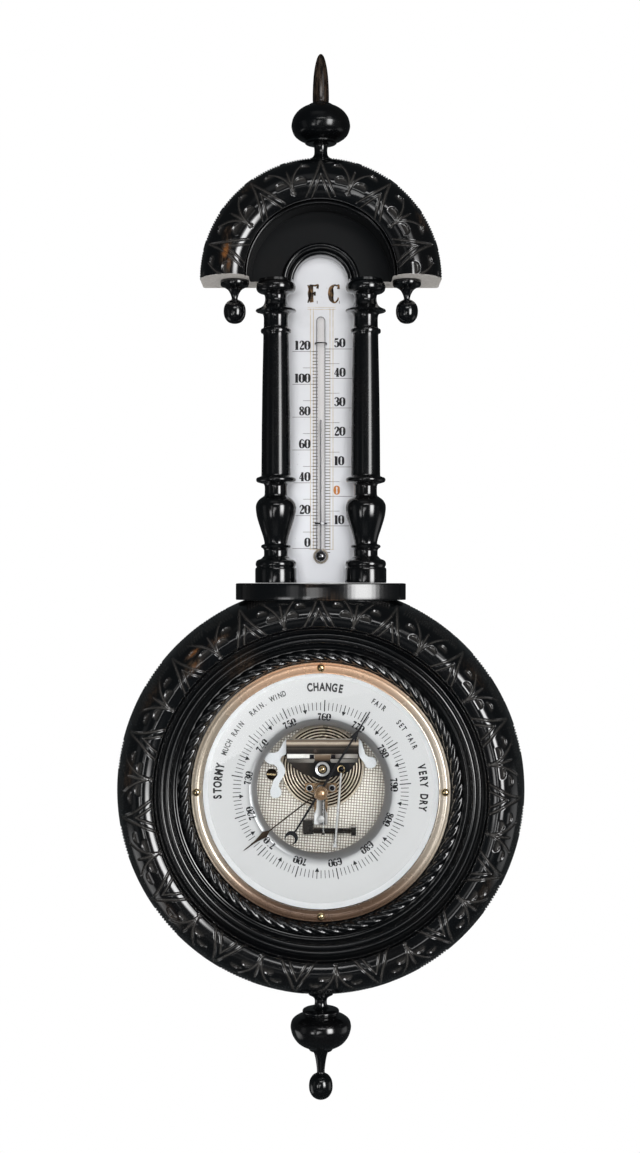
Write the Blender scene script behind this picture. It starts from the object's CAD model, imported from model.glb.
"""Looks for an aneroid wall barometer in carved and ebonised wood, with a thermometer.

Sizes are millimetres in the classes and metres in Blender. A depth is a distance out
from the wall, so a point at depth d has y = -d.
"""

import logging
import math
from dataclasses import dataclass
from enum import Enum
from functools import cache
from typing import Callable, Sequence, Union

import bmesh
import bpy
import numpy as np
from mathutils import Matrix, Vector


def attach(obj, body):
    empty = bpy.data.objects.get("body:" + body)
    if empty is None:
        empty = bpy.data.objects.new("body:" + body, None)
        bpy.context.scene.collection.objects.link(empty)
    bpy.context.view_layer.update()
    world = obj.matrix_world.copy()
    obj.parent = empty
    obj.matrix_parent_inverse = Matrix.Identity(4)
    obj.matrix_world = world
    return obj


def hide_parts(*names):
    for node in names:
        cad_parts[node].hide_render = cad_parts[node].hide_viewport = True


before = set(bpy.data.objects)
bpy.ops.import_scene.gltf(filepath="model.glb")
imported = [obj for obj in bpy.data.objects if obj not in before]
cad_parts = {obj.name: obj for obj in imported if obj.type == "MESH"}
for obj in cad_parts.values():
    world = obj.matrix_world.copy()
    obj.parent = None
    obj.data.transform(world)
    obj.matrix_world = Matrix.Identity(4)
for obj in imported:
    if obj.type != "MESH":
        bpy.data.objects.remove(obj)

MM = 0.001
LOG = logging.getLogger("barometer")
Array = np.ndarray
Piece = bpy.types.Object
Material = bpy.types.Material
Point = tuple[float, float]
Points = Sequence[Sequence[float]]
Colour = tuple[float, float, float]
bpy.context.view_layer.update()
# The viewer's distance from the wall in millimetres, and the photograph's pixels for a slope of 1
VIEW_DISTANCE = 1009.0
VIEW_SCALE = 1600.0


class Facing(Enum):
    """The way that a turned or flat piece faces."""

    VIEWER = "viewer"
    UP = "up"


# Shader maths


class Value:
    """One output socket of a node tree, with Python's arithmetic on numbers."""

    def __init__(self, graph: "Graph", socket: bpy.types.NodeSocket) -> None:
        """Wraps a socket.

        Args:
            graph: the material that the socket belongs to.
            socket: the output socket.
        """
        self.graph = graph
        self.socket = socket

    def math(self, operation: str, *others: "Scalar") -> "Value":
        """Adds a Math node whose first input is this value."""
        return self.graph.math(operation, self, *others)

    def __add__(self, other: "Scalar") -> "Value":
        """This value plus another."""
        return self.math("ADD", other)

    __radd__ = __add__

    def __sub__(self, other: "Scalar") -> "Value":
        """This value less another."""
        return self.math("SUBTRACT", other)

    def __rsub__(self, other: "Scalar") -> "Value":
        """Another value less this one."""
        return self.graph.math("SUBTRACT", other, self)

    def __mul__(self, other: "Scalar") -> "Value":
        """This value times another."""
        return self.math("MULTIPLY", other)

    __rmul__ = __mul__

    def __truediv__(self, other: "Scalar") -> "Value":
        """This value divided by another."""
        return self.math("DIVIDE", other)

    def __rtruediv__(self, other: "Scalar") -> "Value":
        """Another value divided by this one."""
        return self.graph.math("DIVIDE", other, self)

    def step(self, low: float, high: float) -> "Value":
        """A smooth step from 0 at low to 1 at high."""
        return self.graph.node(
            "ShaderNodeMapRange",
            {"interpolation_type": "SMOOTHSTEP"},
            {"Value": self, "From Min": low, "From Max": high},
        )

    def axis(self, name: str) -> "Value":
        """One coordinate of a point: X, Y or Z."""
        return self.graph.node("ShaderNodeSeparateXYZ", None, {0: self}, name)


Scalar = Union[Value, float]


class Graph:
    """The node tree of a material, a lamp or the surroundings, built by one method."""

    def __init__(self, name: str, owner: bpy.types.ID | None = None) -> None:
        """Starts an empty tree.

        Args:
            name: the name of the material that is made where no owner is given.
            owner: the lamp or world that the tree belongs to.
        """
        self.owner = owner or bpy.data.materials.new(name)
        self.owner.use_nodes = True
        self.tree = self.owner.node_tree
        self.tree.nodes.clear()

    def node(
        self,
        kind: str,
        settings: dict[str, object] | None = None,
        inputs: dict[str | int, object] | None = None,
        output: str | int = 0,
    ) -> Value:
        """Adds one node.

        Args:
            kind: the node's type.
            settings: properties that are set first; stops are a colour ramp's.
            inputs: values or links of its sockets, by name or number.
            output: the output that is returned.

        Returns:
            The chosen output.
        """
        node = self.tree.nodes.new(kind)
        for name, setting in (settings or {}).items():
            if name == "stops":
                ramp = node.color_ramp
                for end, (place, colour) in ((0, setting[0]), (1, setting[-1])):
                    ramp.elements[end].position, ramp.elements[end].color = place, (*colour, 1.0)
                for place, colour in setting[1:-1]:
                    ramp.elements.new(place).color = (*colour, 1.0)
            else:
                setattr(node, name, setting)
        for key, item in (inputs or {}).items():
            socket = node.inputs[key]
            if isinstance(item, Value):
                self.tree.links.new(item.socket, socket)
            else:
                socket.default_value = (*item, 1.0) if socket.type == "RGBA" else item
        return Value(self, node.outputs[output]) if node.outputs else None

    def math(self, operation: str, *terms: Scalar) -> Value:
        """Adds one Math node on numbers and values."""
        return self.node("ShaderNodeMath", {"operation": operation}, dict(enumerate(terms)))

    def mix(self, share: Scalar, first: Value | Colour, second: Value | Colour) -> Value:
        """A mix of two colours, the first at a share of 0 and the second at 1."""
        return self.node("ShaderNodeMix", {"data_type": "RGBA"}, {0: share, 6: first, 7: second}, 2)

    def share(self, name: str) -> Value:
        """A share that the mesh stores at each point."""
        return self.node("ShaderNodeAttribute", {"attribute_name": name}, output="Fac")

    def place(self, stretch: tuple[float, float, float] = (1.0, 1.0, 1.0)) -> Value:
        """The point on the object, scaled along each axis."""
        point = self.node("ShaderNodeTexCoord", output="Object")
        return self.node("ShaderNodeVectorMath", {"operation": "MULTIPLY"}, {0: point, 1: stretch})

    def noise(self, place: Value, scale: float, detail: float = 3.0, rough: float = 0.55) -> Value:
        """Cloudy noise between 0 and 1.

        Args:
            place: the point on the object.
            scale: features in a metre.
            detail: how many finer layers it has.
            rough: the weight of the finer layers.

        Returns:
            The noise.
        """
        inputs = {"Vector": place, "Scale": scale, "Detail": detail, "Roughness": rough}
        return self.node("ShaderNodeTexNoise", None, inputs)

    def bump(self, height: Value, lift: float, strength: float = 1.0) -> Value:
        """A normal from a height.

        Args:
            height: the height, between 0 and 1.
            lift: the height's size in metres.
            strength: the share of it that is used.

        Returns:
            The normal.
        """
        return self.node("ShaderNodeBump", None, {"Height": height, "Distance": lift, "Strength": strength})

    def finish(self, shader: Value) -> Material:
        """Connects the surface and returns the material."""
        self.node("ShaderNodeOutputMaterial", None, {"Surface": shader})
        return self.owner

    def surface(self, inputs: dict[str | int, object]) -> Material:
        """Finishes the material with the main shader and the given sockets."""
        return self.finish(self.node("ShaderNodeBsdfPrincipled", None, inputs))


# Finishes


class Finish:
    """A finish that pieces wear."""

    name: str

    @cache
    def material(self) -> Material:
        """The finish as a material, made once."""
        return self.paint(Graph(self.name))

    def paint(self, graph: Graph) -> Material:
        """Builds the finish in an empty graph."""
        raise NotImplementedError


@dataclass(frozen=True)
class EbonisedWood(Finish):
    """Black French polish on wood, with brown wear where the wear attribute says so."""

    name: str = "ebonised_wood"
    black: Colour = (0.0021, 0.0025, 0.003)
    brown: Colour = (0.0075, 0.0052, 0.0042)
    rubbed: Colour = (0.05, 0.034, 0.023)
    worn: Colour = (0.21, 0.088, 0.03)
    worn_grain: Colour = (0.06, 0.024, 0.01)
    dust: Colour = (0.046, 0.043, 0.04)
    weathered: Colour = (0.9, 0.87, 0.83)
    weathered_grain: Colour = (0.3, 0.27, 0.24)
    roughness: float = 0.16
    grain: tuple[float, float, float] = (1.0, 1.0, 0.12)

    def paint(self, graph: Graph) -> Material:
        """Builds the finish."""
        place = graph.place()
        cloud = graph.noise(place, 30.0, 4.0)
        smear = graph.noise(place, 170.0, 4.0, 0.62)
        grain = graph.noise(graph.place(self.grain), 900.0, 3.0, 0.6)
        wear, satin, raw, matt, cut = (graph.share(name) for name in ("wear", "satin", "raw", "matt", "cut"))
        bare = (wear + (smear - 0.5) * 0.8 * wear.step(0.02, 0.3)).step(0.42, 1.0)
        polish = graph.mix(cloud.step(0.42, 0.8) * 0.3, self.black, self.brown)
        streaks = graph.mix(grain.step(0.42, 0.62), self.brown, self.rubbed)
        base = graph.mix(wear.step(0.05, 0.5) * 0.9, polish, streaks)
        dusty = graph.mix(cut * (smear * 0.8 + 0.3), base, self.dust)
        worn = graph.mix(bare, dusty, graph.mix(grain, self.worn, self.worn_grain))
        colour = graph.mix(raw, worn, graph.mix(grain, self.weathered, self.weathered_grain))
        dull = (cloud - 0.5) * 0.1 + (smear - 0.5) * 0.1 + bare * 0.2
        gloss = dull * (satin + 0.5) + satin * 0.1 + raw * 0.5 + matt * 0.3 + self.roughness
        height = smear * 0.55 + grain * 0.3 + cloud * 0.15
        return graph.surface({
            "Base Color": colour,
            "Roughness": gloss,
            "IOR": 1.5,
            "Specular IOR Level": 0.16,
            "Coat Weight": (1.0 - bare) * (1.0 - satin * 0.5) * (1.0 - raw) * (1.0 - matt),
            "Coat IOR": 1.58,
            "Coat Roughness": 0.11,
            "Normal": graph.bump(height, 0.00003, 0.25),
        })


@dataclass(frozen=True)
class StainedBoard(Finish):
    """Plain boards at the back: brown stain over long straight grain."""

    name: str = "stained_board"
    light: Colour = (0.13, 0.068, 0.032)
    dark: Colour = (0.035, 0.018, 0.009)

    def paint(self, graph: Graph) -> Material:
        """Builds the finish."""
        bands = graph.noise(graph.place((1.0, 1.0, 0.045)), 210.0, 5.0, 0.6)
        pores = graph.noise(graph.place((1.0, 1.0, 0.03)), 1500.0, 2.0)
        cloud = graph.noise(graph.place(), 14.0, 3.0)
        tone = bands.step(0.3, 0.72) * 0.75 + cloud * 0.25
        stained = graph.mix(tone, self.dark, self.light)
        colour = graph.mix(pores.step(0.56, 0.68) * 0.6, stained, self.dark)
        return graph.surface({
            "Base Color": colour,
            "Roughness": cloud * 0.2 + 0.55,
            "Normal": graph.bump(bands * 0.6 + pores * 0.4, 0.00025),
        })


@dataclass(frozen=True)
class MilkGlass(Finish):
    """Opaque white glass with a cool tint, a soft gloss and grey dust at its edges."""

    name: str = "milk_glass"
    white: Colour = (0.64, 0.65, 0.68)
    dust: Colour = (0.33, 0.325, 0.33)
    grey: Colour = (0.54, 0.545, 0.565)
    grey_from: float = 150.0
    grey_to: float = 235.0
    half_width: float = 21.5

    def paint(self, graph: Graph) -> Material:
        """Builds the finish."""
        point = graph.place()
        cloud = graph.noise(point, 55.0, 4.0)
        speck = graph.noise(point, 520.0, 2.0)
        across = point.axis("X").math("ABSOLUTE")
        edge = (across / (self.half_width * MM)).step(0.74, 1.02)
        dirt = edge * 0.45 + speck.step(0.72, 0.78) * 0.5 + cloud.step(0.55, 0.8) * 0.18
        height = point.axis("Z") * 1000.0
        face = graph.mix(height.step(self.grey_from, self.grey_to), self.white, self.grey)
        return graph.surface({
            "Base Color": graph.mix(dirt, face, self.dust),
            "Roughness": cloud * 0.12 + 0.16,
            "Normal": graph.bump(cloud, 0.0002, 0.5),
        })


@dataclass(frozen=True)
class Metal(Finish):
    """Polished or aged metal with tarnish clouds and fine scratches."""

    name: str
    bright: Colour
    tarnish: Colour
    roughness: float
    tarnish_share: float = 0.5
    scratches: float = 0.15
    metallic: float = 1.0
    coat: float = 0.0

    def paint(self, graph: Graph) -> Material:
        """Builds the finish."""
        cloud = graph.noise(graph.place(), 90.0, 5.0, 0.6)
        scratch = graph.noise(graph.place((0.12, 1.0, 1.0)), 2600.0, 2.0)
        aged = cloud.step(0.38, 0.74) * self.tarnish_share
        gloss = aged * 0.2 + (scratch - 0.5) * self.scratches + self.roughness
        return graph.surface({
            "Base Color": graph.mix(aged, self.bright, self.tarnish),
            "Metallic": self.metallic,
            "Roughness": gloss,
            "Coat Weight": self.coat,
            "Coat Roughness": 0.12,
            "Normal": graph.bump(scratch, 0.0000008, 0.6),
        })


@dataclass(frozen=True)
class SilveredDial(Finish):
    """Matt silvered brass: near white, a fine grain and faint brown spots."""

    name: str = "silvered_dial"
    silver: Colour = (0.53, 0.525, 0.528)
    grey: Colour = (0.5, 0.494, 0.496)
    spot: Colour = (0.36, 0.30, 0.25)
    lip_silver: Colour = (0.42, 0.42, 0.43)
    lip_radius: float = 0.0462

    def paint(self, graph: Graph) -> Material:
        """Builds the finish."""
        place = graph.place()
        cloud = graph.noise(place, 45.0, 5.0, 0.6)
        grain = graph.noise(place, 3200.0, 2.0)
        speck = graph.noise(place, 420.0, 2.0)
        tone = graph.mix(cloud.step(0.45, 0.85) * 0.5, self.silver, self.grey)
        flat = graph.place((1.0, 0.0, 1.0))
        reach = graph.node("ShaderNodeVectorMath", {"operation": "LENGTH"}, {0: flat}, "Value")
        lip = 1.0 - (reach / self.lip_radius).step(0.94, 1.01)
        colour = graph.mix(speck.step(0.76, 0.82) * 0.6, tone, self.spot)
        return graph.surface({
            "Base Color": graph.mix(lip * 0.6, colour, self.lip_silver),
            "Metallic": lip * 0.85,
            "Roughness": grain * 0.14 + 0.36,
            "Normal": graph.bump(grain, 0.00004, 0.5),
        })


@dataclass(frozen=True)
class ClearGlass(Finish):
    """Clear glass: see-through, with a reflection that grows towards grazing light."""

    name: str = "clear_glass"
    tint: Colour = (0.985, 0.992, 0.992)
    roughness: float = 0.02
    edge: float = 0.0
    rim: Colour = (0.12, 0.12, 0.13)
    edge_from: float = 0.1475
    edge_to: float = 0.1485

    def paint(self, graph: Graph) -> Material:
        """Builds the finish."""
        clear = graph.node("ShaderNodeBsdfTransparent", None, {"Color": self.tint})
        gloss = graph.node("ShaderNodeBsdfGlossy", None, {"Roughness": self.roughness})
        inside = graph.node("ShaderNodeNewGeometry", output="Backfacing")
        share = graph.node("ShaderNodeFresnel", None, {"IOR": 1.5}) * (1.0 - inside)
        if self.edge:
            facing = graph.node("ShaderNodeLayerWeight", None, {"Blend": 0.5}, "Facing")
            dark = graph.node("ShaderNodeBsdfDiffuse", None, {"Color": self.rim})
            height = graph.place().axis("Z")
            rim = facing.step(0.35, 0.6) * self.edge * height.step(self.edge_from, self.edge_to)
            clear = graph.node("ShaderNodeMixShader", None, {0: rim, 1: clear, 2: dark})
        return graph.finish(graph.node("ShaderNodeMixShader", None, {0: share, 1: clear, 2: gloss}))


@dataclass(frozen=True)
class Enamel(Finish):
    """Baked ink or paint of the scales, thinner in places."""

    name: str
    ink: Colour
    faded: Colour
    fading: float = 0.4
    shine: float = 0.2

    def paint(self, graph: Graph) -> Material:
        """Builds the finish."""
        cloud = graph.noise(graph.place(), 260.0, 4.0, 0.65)
        thin = cloud.step(0.45, 0.72) * self.fading
        colour = graph.mix(thin, self.ink, self.faded)
        sockets = {"Base Color": colour, "Roughness": cloud * 0.2 + 0.35, "Specular IOR Level": self.shine}
        return graph.surface(sockets)


@dataclass(frozen=True)
class KnurledNickel(Finish):
    """Warm nickel cut into small squares, dark in the grooves between them."""

    name: str = "knurled_nickel"
    crown: Colour = (1.0, 0.96, 0.905)
    groove: Colour = (0.19, 0.14, 0.095)
    stain: Colour = (0.93, 0.87, 0.78)

    def paint(self, graph: Graph) -> Material:
        """Builds the finish."""
        place = graph.place()
        cloud = graph.noise(place, 70.0, 4.0, 0.6)
        low = graph.share("groove")
        face = graph.mix(cloud.step(0.45, 0.8) * 0.6, self.crown, self.stain)
        return graph.surface({
            "Base Color": graph.mix(low.step(0.18, 0.9), face, self.groove),
            "Metallic": 0.12,
            "Roughness": cloud * 0.2 + 0.3,
            "Normal": graph.bump(graph.noise(place, 2400.0, 2.0), 0.000008, 0.6),
        })


@dataclass(frozen=True)
class BandedMetal(Finish):
    """Polished metal whose tone runs in bands along one axis, as a rolled sheet shows its room."""

    name: str
    bands: tuple[tuple[float, Colour], ...]
    low: float
    high: float
    axis: str = "Z"
    metallic: float = 0.35
    roughness: float = 0.24
    shine: float = 0.2
    coat: float = 0.0
    shade: float = 0.0
    shade_from: float = 30.0
    shade_to: float = 72.0
    smoke: Colour = (0.1, 0.06, 0.04)

    def paint(self, graph: Graph) -> Material:
        """Builds the finish."""
        place = graph.place()
        along = place.axis(self.axis) * 1000.0
        fall = (place.axis("Z") * -1000.0).step(self.shade_from, self.shade_to)
        smear = graph.noise(place, 160.0, 3.0) - 0.5
        share = (along - self.low) / (self.high - self.low) + smear * 0.05
        tone = graph.node("ShaderNodeValToRGB", {"stops": self.bands}, {0: share})
        return graph.surface({
            "Base Color": graph.mix(fall * self.shade + smear.step(0.05, 0.3) * 0.25, tone, self.smoke),
            "Metallic": self.metallic,
            "Specular IOR Level": self.shine,
            "Coat Weight": self.coat,
            "Roughness": smear * 0.15 + self.roughness,
        })


@dataclass(frozen=True)
class RingedBrass(Finish):
    """Lacquered brass with darker lacquer in the grooves that the groove attribute marks."""

    name: str = "ringed_brass"
    crest: Colour = (1.0, 0.9, 0.76)
    slope: Colour = (0.4, 0.29, 0.19)
    groove: Colour = (0.025, 0.018, 0.013)

    def paint(self, graph: Graph) -> Material:
        """Builds the finish."""
        low = graph.share("groove")
        cloud = graph.noise(graph.place(), 60.0, 3.0)
        upper = graph.mix(low.step(0.1, 0.42), self.crest, self.slope)
        tone = graph.mix(low.step(0.4, 0.72), upper, self.groove)
        sockets = {"Base Color": tone, "Metallic": 0.6, "Roughness": cloud * 0.16 + 0.2}
        return graph.surface(sockets)


class Finishes:
    """Every finish of the barometer."""

    wood = EbonisedWood()
    satin_wood = EbonisedWood("ebonised_satin", roughness=0.2, grain=(1.0, 1.0, 0.05))
    board = StainedBoard()
    milk = MilkGlass()
    dial = SilveredDial()
    glass = ClearGlass()
    tube = ClearGlass("tube_glass", edge=0.75, roughness=0.35, tint=(0.985, 0.975, 0.965))
    capsule = RingedBrass()
    knurl = KnurledNickel()
    bezel = BandedMetal(
        "lacquered_brass",
        ((0.0, (0.42, 0.37, 0.3)), (0.12, (0.43, 0.36, 0.28)), (0.27, (0.64, 0.43, 0.29)),
         (0.5, (0.7, 0.43, 0.27)), (0.73, (0.64, 0.44, 0.3)), (0.88, (0.53, 0.45, 0.36)),
         (1.0, (0.58, 0.52, 0.44))),
        -78.5, 78.5, "X", metallic=0.5, roughness=0.26, shine=0.5, coat=0.5, shade=0.94,
    )
    fold = BandedMetal(
        "folded_nickel",
        ((0.0, (0.015, 0.012, 0.01)), (0.3, (0.02, 0.016, 0.014)), (0.42, (0.05, 0.04, 0.032)),
         (0.5, (0.012, 0.01, 0.009)), (0.62, (0.1, 0.078, 0.06)), (0.68, (0.3, 0.24, 0.185)),
         (0.8, (0.55, 0.46, 0.37)), (0.86, (0.2, 0.155, 0.12)), (1.0, (0.3, 0.235, 0.18))),
        21.0, 30.1, metallic=0.2,
    )
    lip = BandedMetal(
        "lip_nickel",
        ((0.0, (0.04, 0.036, 0.032)), (0.16, (0.1, 0.09, 0.08)), (0.36, (0.26, 0.24, 0.22)),
         (0.5, (0.2, 0.17, 0.14)), (0.64, (0.3, 0.28, 0.26)), (0.84, (0.2, 0.185, 0.17)),
         (1.0, (0.05, 0.046, 0.042))),
        -20.7, 22.7, "X", metallic=0.2,
    )
    tab = BandedMetal(
        "stained_tab",
        ((0.0, (0.03, 0.02, 0.013)), (0.5, (0.12, 0.08, 0.052)), (1.0, (0.2, 0.145, 0.1))),
        17.3, 20.9, metallic=0.2,
    )
    clamp = BandedMetal(
        "clamp_nickel",
        ((0.0, (0.8, 0.78, 0.75)), (0.33, (0.74, 0.71, 0.67)), (0.4, (0.22, 0.18, 0.14)),
         (0.62, (0.3, 0.24, 0.19)), (0.68, (0.13, 0.11, 0.1)), (0.85, (0.4, 0.37, 0.34)),
         (1.0, (0.16, 0.14, 0.125))),
        -21.0, 23.0, "X", metallic=0.15,
    )
    blade = BandedMetal(
        "blade_steel",
        ((0.0, (0.016, 0.013, 0.012)), (0.24, (0.03, 0.024, 0.02)), (0.4, (0.008, 0.008, 0.008)),
         (1.0, (0.008, 0.008, 0.01))),
        -20.0, 21.0, "X", metallic=0.2, roughness=0.3,
    )
    cock = BandedMetal(
        "cock_steel_bands",
        ((0.0, (0.7, 0.7, 0.7)), (0.2, (0.55, 0.55, 0.55)), (0.42, (0.24, 0.235, 0.23)),
         (0.6, (0.1, 0.095, 0.09)), (0.75, (0.05, 0.046, 0.043)), (0.88, (0.3, 0.29, 0.28)),
         (1.0, (0.5, 0.49, 0.48))),
        -4.1, 4.1, "X", metallic=0.2,
    )
    slip = Metal("silvered_slip", (0.92, 0.92, 0.93), (0.8, 0.8, 0.81), 0.3, 0.3, metallic=0.2)
    frosted = Metal("frosted_nickel", (0.62, 0.63, 0.65), (0.56, 0.56, 0.57), 0.42, 0.3, metallic=0.1)
    bronzed = Metal("bronzed_steel", (0.07, 0.05, 0.036), (0.035, 0.026, 0.02), 0.3)
    old_brass = Metal("old_brass", (0.56, 0.37, 0.22), (0.2, 0.115, 0.06), 0.26, 0.7)
    shaft = Metal(
        "bronzed_shaft", (0.01, 0.008, 0.007), (0.03, 0.023, 0.018), 0.25, 0.6, metallic=0.1, coat=1.0
    )
    seat = Metal("seat_brass", (0.5, 0.44, 0.35), (0.3, 0.25, 0.19), 0.3, metallic=0.5)
    knob = Metal("bronze_knob", (0.46, 0.30, 0.17), (0.22, 0.13, 0.07), 0.24, 0.6, metallic=0.7, coat=0.7)
    gold = Metal("gold_brass", (0.85, 0.66, 0.38), (0.5, 0.33, 0.16), 0.2, 0.4)
    nickel = Metal("nickel", (0.80, 0.76, 0.69), (0.5, 0.45, 0.36), 0.28, metallic=0.5)
    steel = Metal("steel", (0.72, 0.72, 0.73), (0.4, 0.38, 0.36), 0.26, metallic=0.5)
    blued = Metal("blued_steel", (0.02, 0.021, 0.027), (0.045, 0.03, 0.024), 0.26)
    mercury = Metal("mercury", (0.2, 0.205, 0.22), (0.16, 0.165, 0.18), 0.07, 0.2)
    pointer = Enamel("blackened_steel", (0.008, 0.008, 0.01), (0.02, 0.017, 0.015))
    ink = Enamel("black_enamel", (0.012, 0.012, 0.014), (0.05, 0.045, 0.04))
    brown_ink = Enamel("brown_enamel", (0.03, 0.02, 0.012), (0.3, 0.16, 0.06), 0.8)
    tan_ink = Enamel("tan_enamel", (0.42, 0.335, 0.215), (0.62, 0.57, 0.48), 0.7)
    orange_ink = Enamel("orange_enamel", (0.42, 0.15, 0.03), (0.55, 0.3, 0.12), 0.5)
    rung_ink = Enamel("rung_enamel", (0.055, 0.042, 0.03), (0.16, 0.12, 0.085), 0.6)
    grey_ink = Enamel("grey_enamel", (0.12, 0.115, 0.11), (0.3, 0.29, 0.27), 0.5)


# Mesh tools


def curve_through(points: Points, spacing: float = 0.5) -> Array:
    """A smooth line through points, with a corner at each point that has a third number.

    Args:
        points: two numbers each, or three at a corner.
        spacing: the least distance between the line's points.

    Returns:
        The line's points, two numbers each.
    """
    line: list[Array] = []
    run: list[Array] = []
    for i, point in enumerate(points):
        run.append(np.array(point[:2], float))
        if (len(point) > 2 or i == len(points) - 1) and len(run) > 1:
            padded = [2 * run[0] - run[1], *run, 2 * run[-1] - run[-2]]
            for before, start, end, after in zip(padded, padded[1:], padded[2:], padded[3:]):
                count = max(1, int(np.linalg.norm(end - start) / spacing))
                if len(run) == 2:
                    count = 1
                for t in np.arange(count) / count:
                    bend = (2 * before - 5 * start + 4 * end - after) * t * t
                    twist = (3 * start - before - 3 * end + after) * t**3
                    line.append(0.5 * (2 * start + (end - before) * t + bend + twist))
            run = [run[-1]]
    line.append(np.array(points[-1][:2], float))
    return np.array(line)


def graded(section: Array, radius: float, spacing: float = 1.6) -> Array:
    """Thins out a section's points past the widest radius that needs them.

    Args:
        section: the section's points.
        radius: points beyond this radius that lie behind the front are thinned.
        spacing: the distance between the points that stay there.

    Returns:
        The thinned section.
    """
    kept = [section[0]]
    behind = False
    for point in section[1:]:
        behind = behind or point[0] > radius
        if not behind or np.linalg.norm(point - kept[-1]) >= spacing:
            kept.append(point)
    kept.append(section[-1])
    return np.array(kept)


def grid_faces(rows: int, columns: int, close_rows: bool, close_columns: bool) -> Array:
    """Quads of a grid of points.

    Args:
        rows: the number of rows.
        columns: the number of columns.
        close_rows: whether the last row joins the first.
        close_columns: whether the last column joins the first.

    Returns:
        Four point numbers for each quad.
    """
    r = np.arange(rows if close_rows else rows - 1)
    c = np.arange(columns if close_columns else columns - 1)
    r, c = np.meshgrid(r, c, indexing="ij")
    down, right = (r + 1) % rows, (c + 1) % columns
    quads = [r * columns + c, r * columns + right, down * columns + right, down * columns + c]
    return np.stack([q.ravel() for q in quads], axis=1)


def mesh_object(name: str, points: Array, faces: Sequence, weld: bool = False) -> Piece:
    """A mesh object in the row frame.

    Args:
        name: the piece's name.
        points: points in millimetres.
        faces: point numbers of each face.
        weld: whether points that meet are joined.

    Returns:
        The object.
    """
    mesh = bpy.data.meshes.new(name)
    faces = faces.tolist() if isinstance(faces, Array) else faces
    mesh.from_pydata((np.asarray(points, float) * MM).tolist(), [], faces)
    if weld:
        weld_points(mesh)
    mesh.update()
    obj = bpy.data.objects.new(name, mesh)
    bpy.context.scene.collection.objects.link(obj)
    return obj


def weld_points(mesh: bpy.types.Mesh, reach: float = 2e-6) -> None:
    """Joins points that meet and turns all faces outwards."""
    work = bmesh.new()
    work.from_mesh(mesh)
    bmesh.ops.remove_doubles(work, verts=work.verts, dist=reach)
    bmesh.ops.recalc_face_normals(work, faces=work.faces)
    work.to_mesh(mesh)
    work.free()


def turned(
    name: str, profile: Points, sides: int, centre: Point = (0.0, 0.0), facing: Facing = Facing.VIEWER
) -> Piece:
    """A turned piece.

    Args:
        name: the piece's name.
        profile: radius and depth, or radius and height for an upright piece.
        sides: the number of sides.
        centre: x and z of the axis, or x and depth for an upright piece.
        facing: the way that its axis points.

    Returns:
        The object.
    """
    profile = np.array(profile, float)
    turn = np.arange(sides) * (2 * math.pi / sides)
    radius, along = profile[:, :1], profile[:, 1:2]
    sideways = centre[0] + radius * np.sin(turn)
    across = radius * np.cos(turn)
    level = np.repeat(along, sides, axis=1)
    if facing is Facing.VIEWER:
        points = np.stack([sideways, -level, centre[1] + across], axis=2)
    else:
        points = np.stack([sideways, -centre[1] - across, level], axis=2)
    closed = bool(np.allclose(profile[0], profile[-1]))
    rows = len(profile) - 1 if closed else len(profile)
    faces = grid_faces(rows, sides, closed, True)
    return mesh_object(name, points[:rows].reshape(-1, 3), faces, weld=True)


def flat_piece(
    name: str,
    outlines: Sequence[Points],
    back: float,
    front: float,
    bevel: float = 0.0,
    facing: Facing = Facing.VIEWER,
) -> Piece:
    """A flat piece with soft edges, cut out of sheet or board.

    Args:
        name: the piece's name.
        outlines: closed outlines, a hole inside another among them.
        back: depth of its back, or height of its underside.
        front: depth of its front, or height of its top.
        bevel: the radius of its edges.
        facing: the way that it faces.

    Returns:
        The object.
    """
    curve = bpy.data.curves.new(name, "CURVE")
    curve.dimensions, curve.fill_mode = "2D", "BOTH"
    curve.extrude = (abs(front - back) / 2 - bevel) * MM
    curve.bevel_depth, curve.bevel_resolution, curve.offset = bevel * MM, 2, -bevel * MM
    for outline in outlines:
        spline = curve.splines.new("POLY")
        spline.points.add(len(outline) - 1)
        for point, (x, z) in zip(spline.points, outline):
            point.co = (x * MM, z * MM, 0, 1)
        spline.use_cyclic_u = True
    middle = (back + front) / 2
    place = Matrix.Translation((0, 0, middle * MM))
    if facing is Facing.VIEWER:
        place = Matrix.Translation((0, -middle * MM, 0)) @ Matrix.Rotation(math.pi / 2, 4, "X")
    return solid_curve(name, curve, place)


def solid_curve(name: str, curve: bpy.types.Curve, place: Matrix) -> Piece:
    """A mesh made of a curve or text, put in place.

    Args:
        name: the piece's name.
        curve: the curve or text.
        place: where it goes.

    Returns:
        The object.
    """
    holder = bpy.data.objects.new(f"{name}_line", curve)
    bpy.context.scene.collection.objects.link(holder)
    bpy.context.view_layer.update()
    graph = bpy.context.evaluated_depsgraph_get()
    mesh = bpy.data.meshes.new_from_object(holder.evaluated_get(graph))
    mesh.name = name
    mesh.transform(place)
    bpy.data.objects.remove(holder)
    bpy.data.curves.remove(curve)
    weld_points(mesh)
    obj = bpy.data.objects.new(name, mesh)
    bpy.context.scene.collection.objects.link(obj)
    return obj


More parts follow.
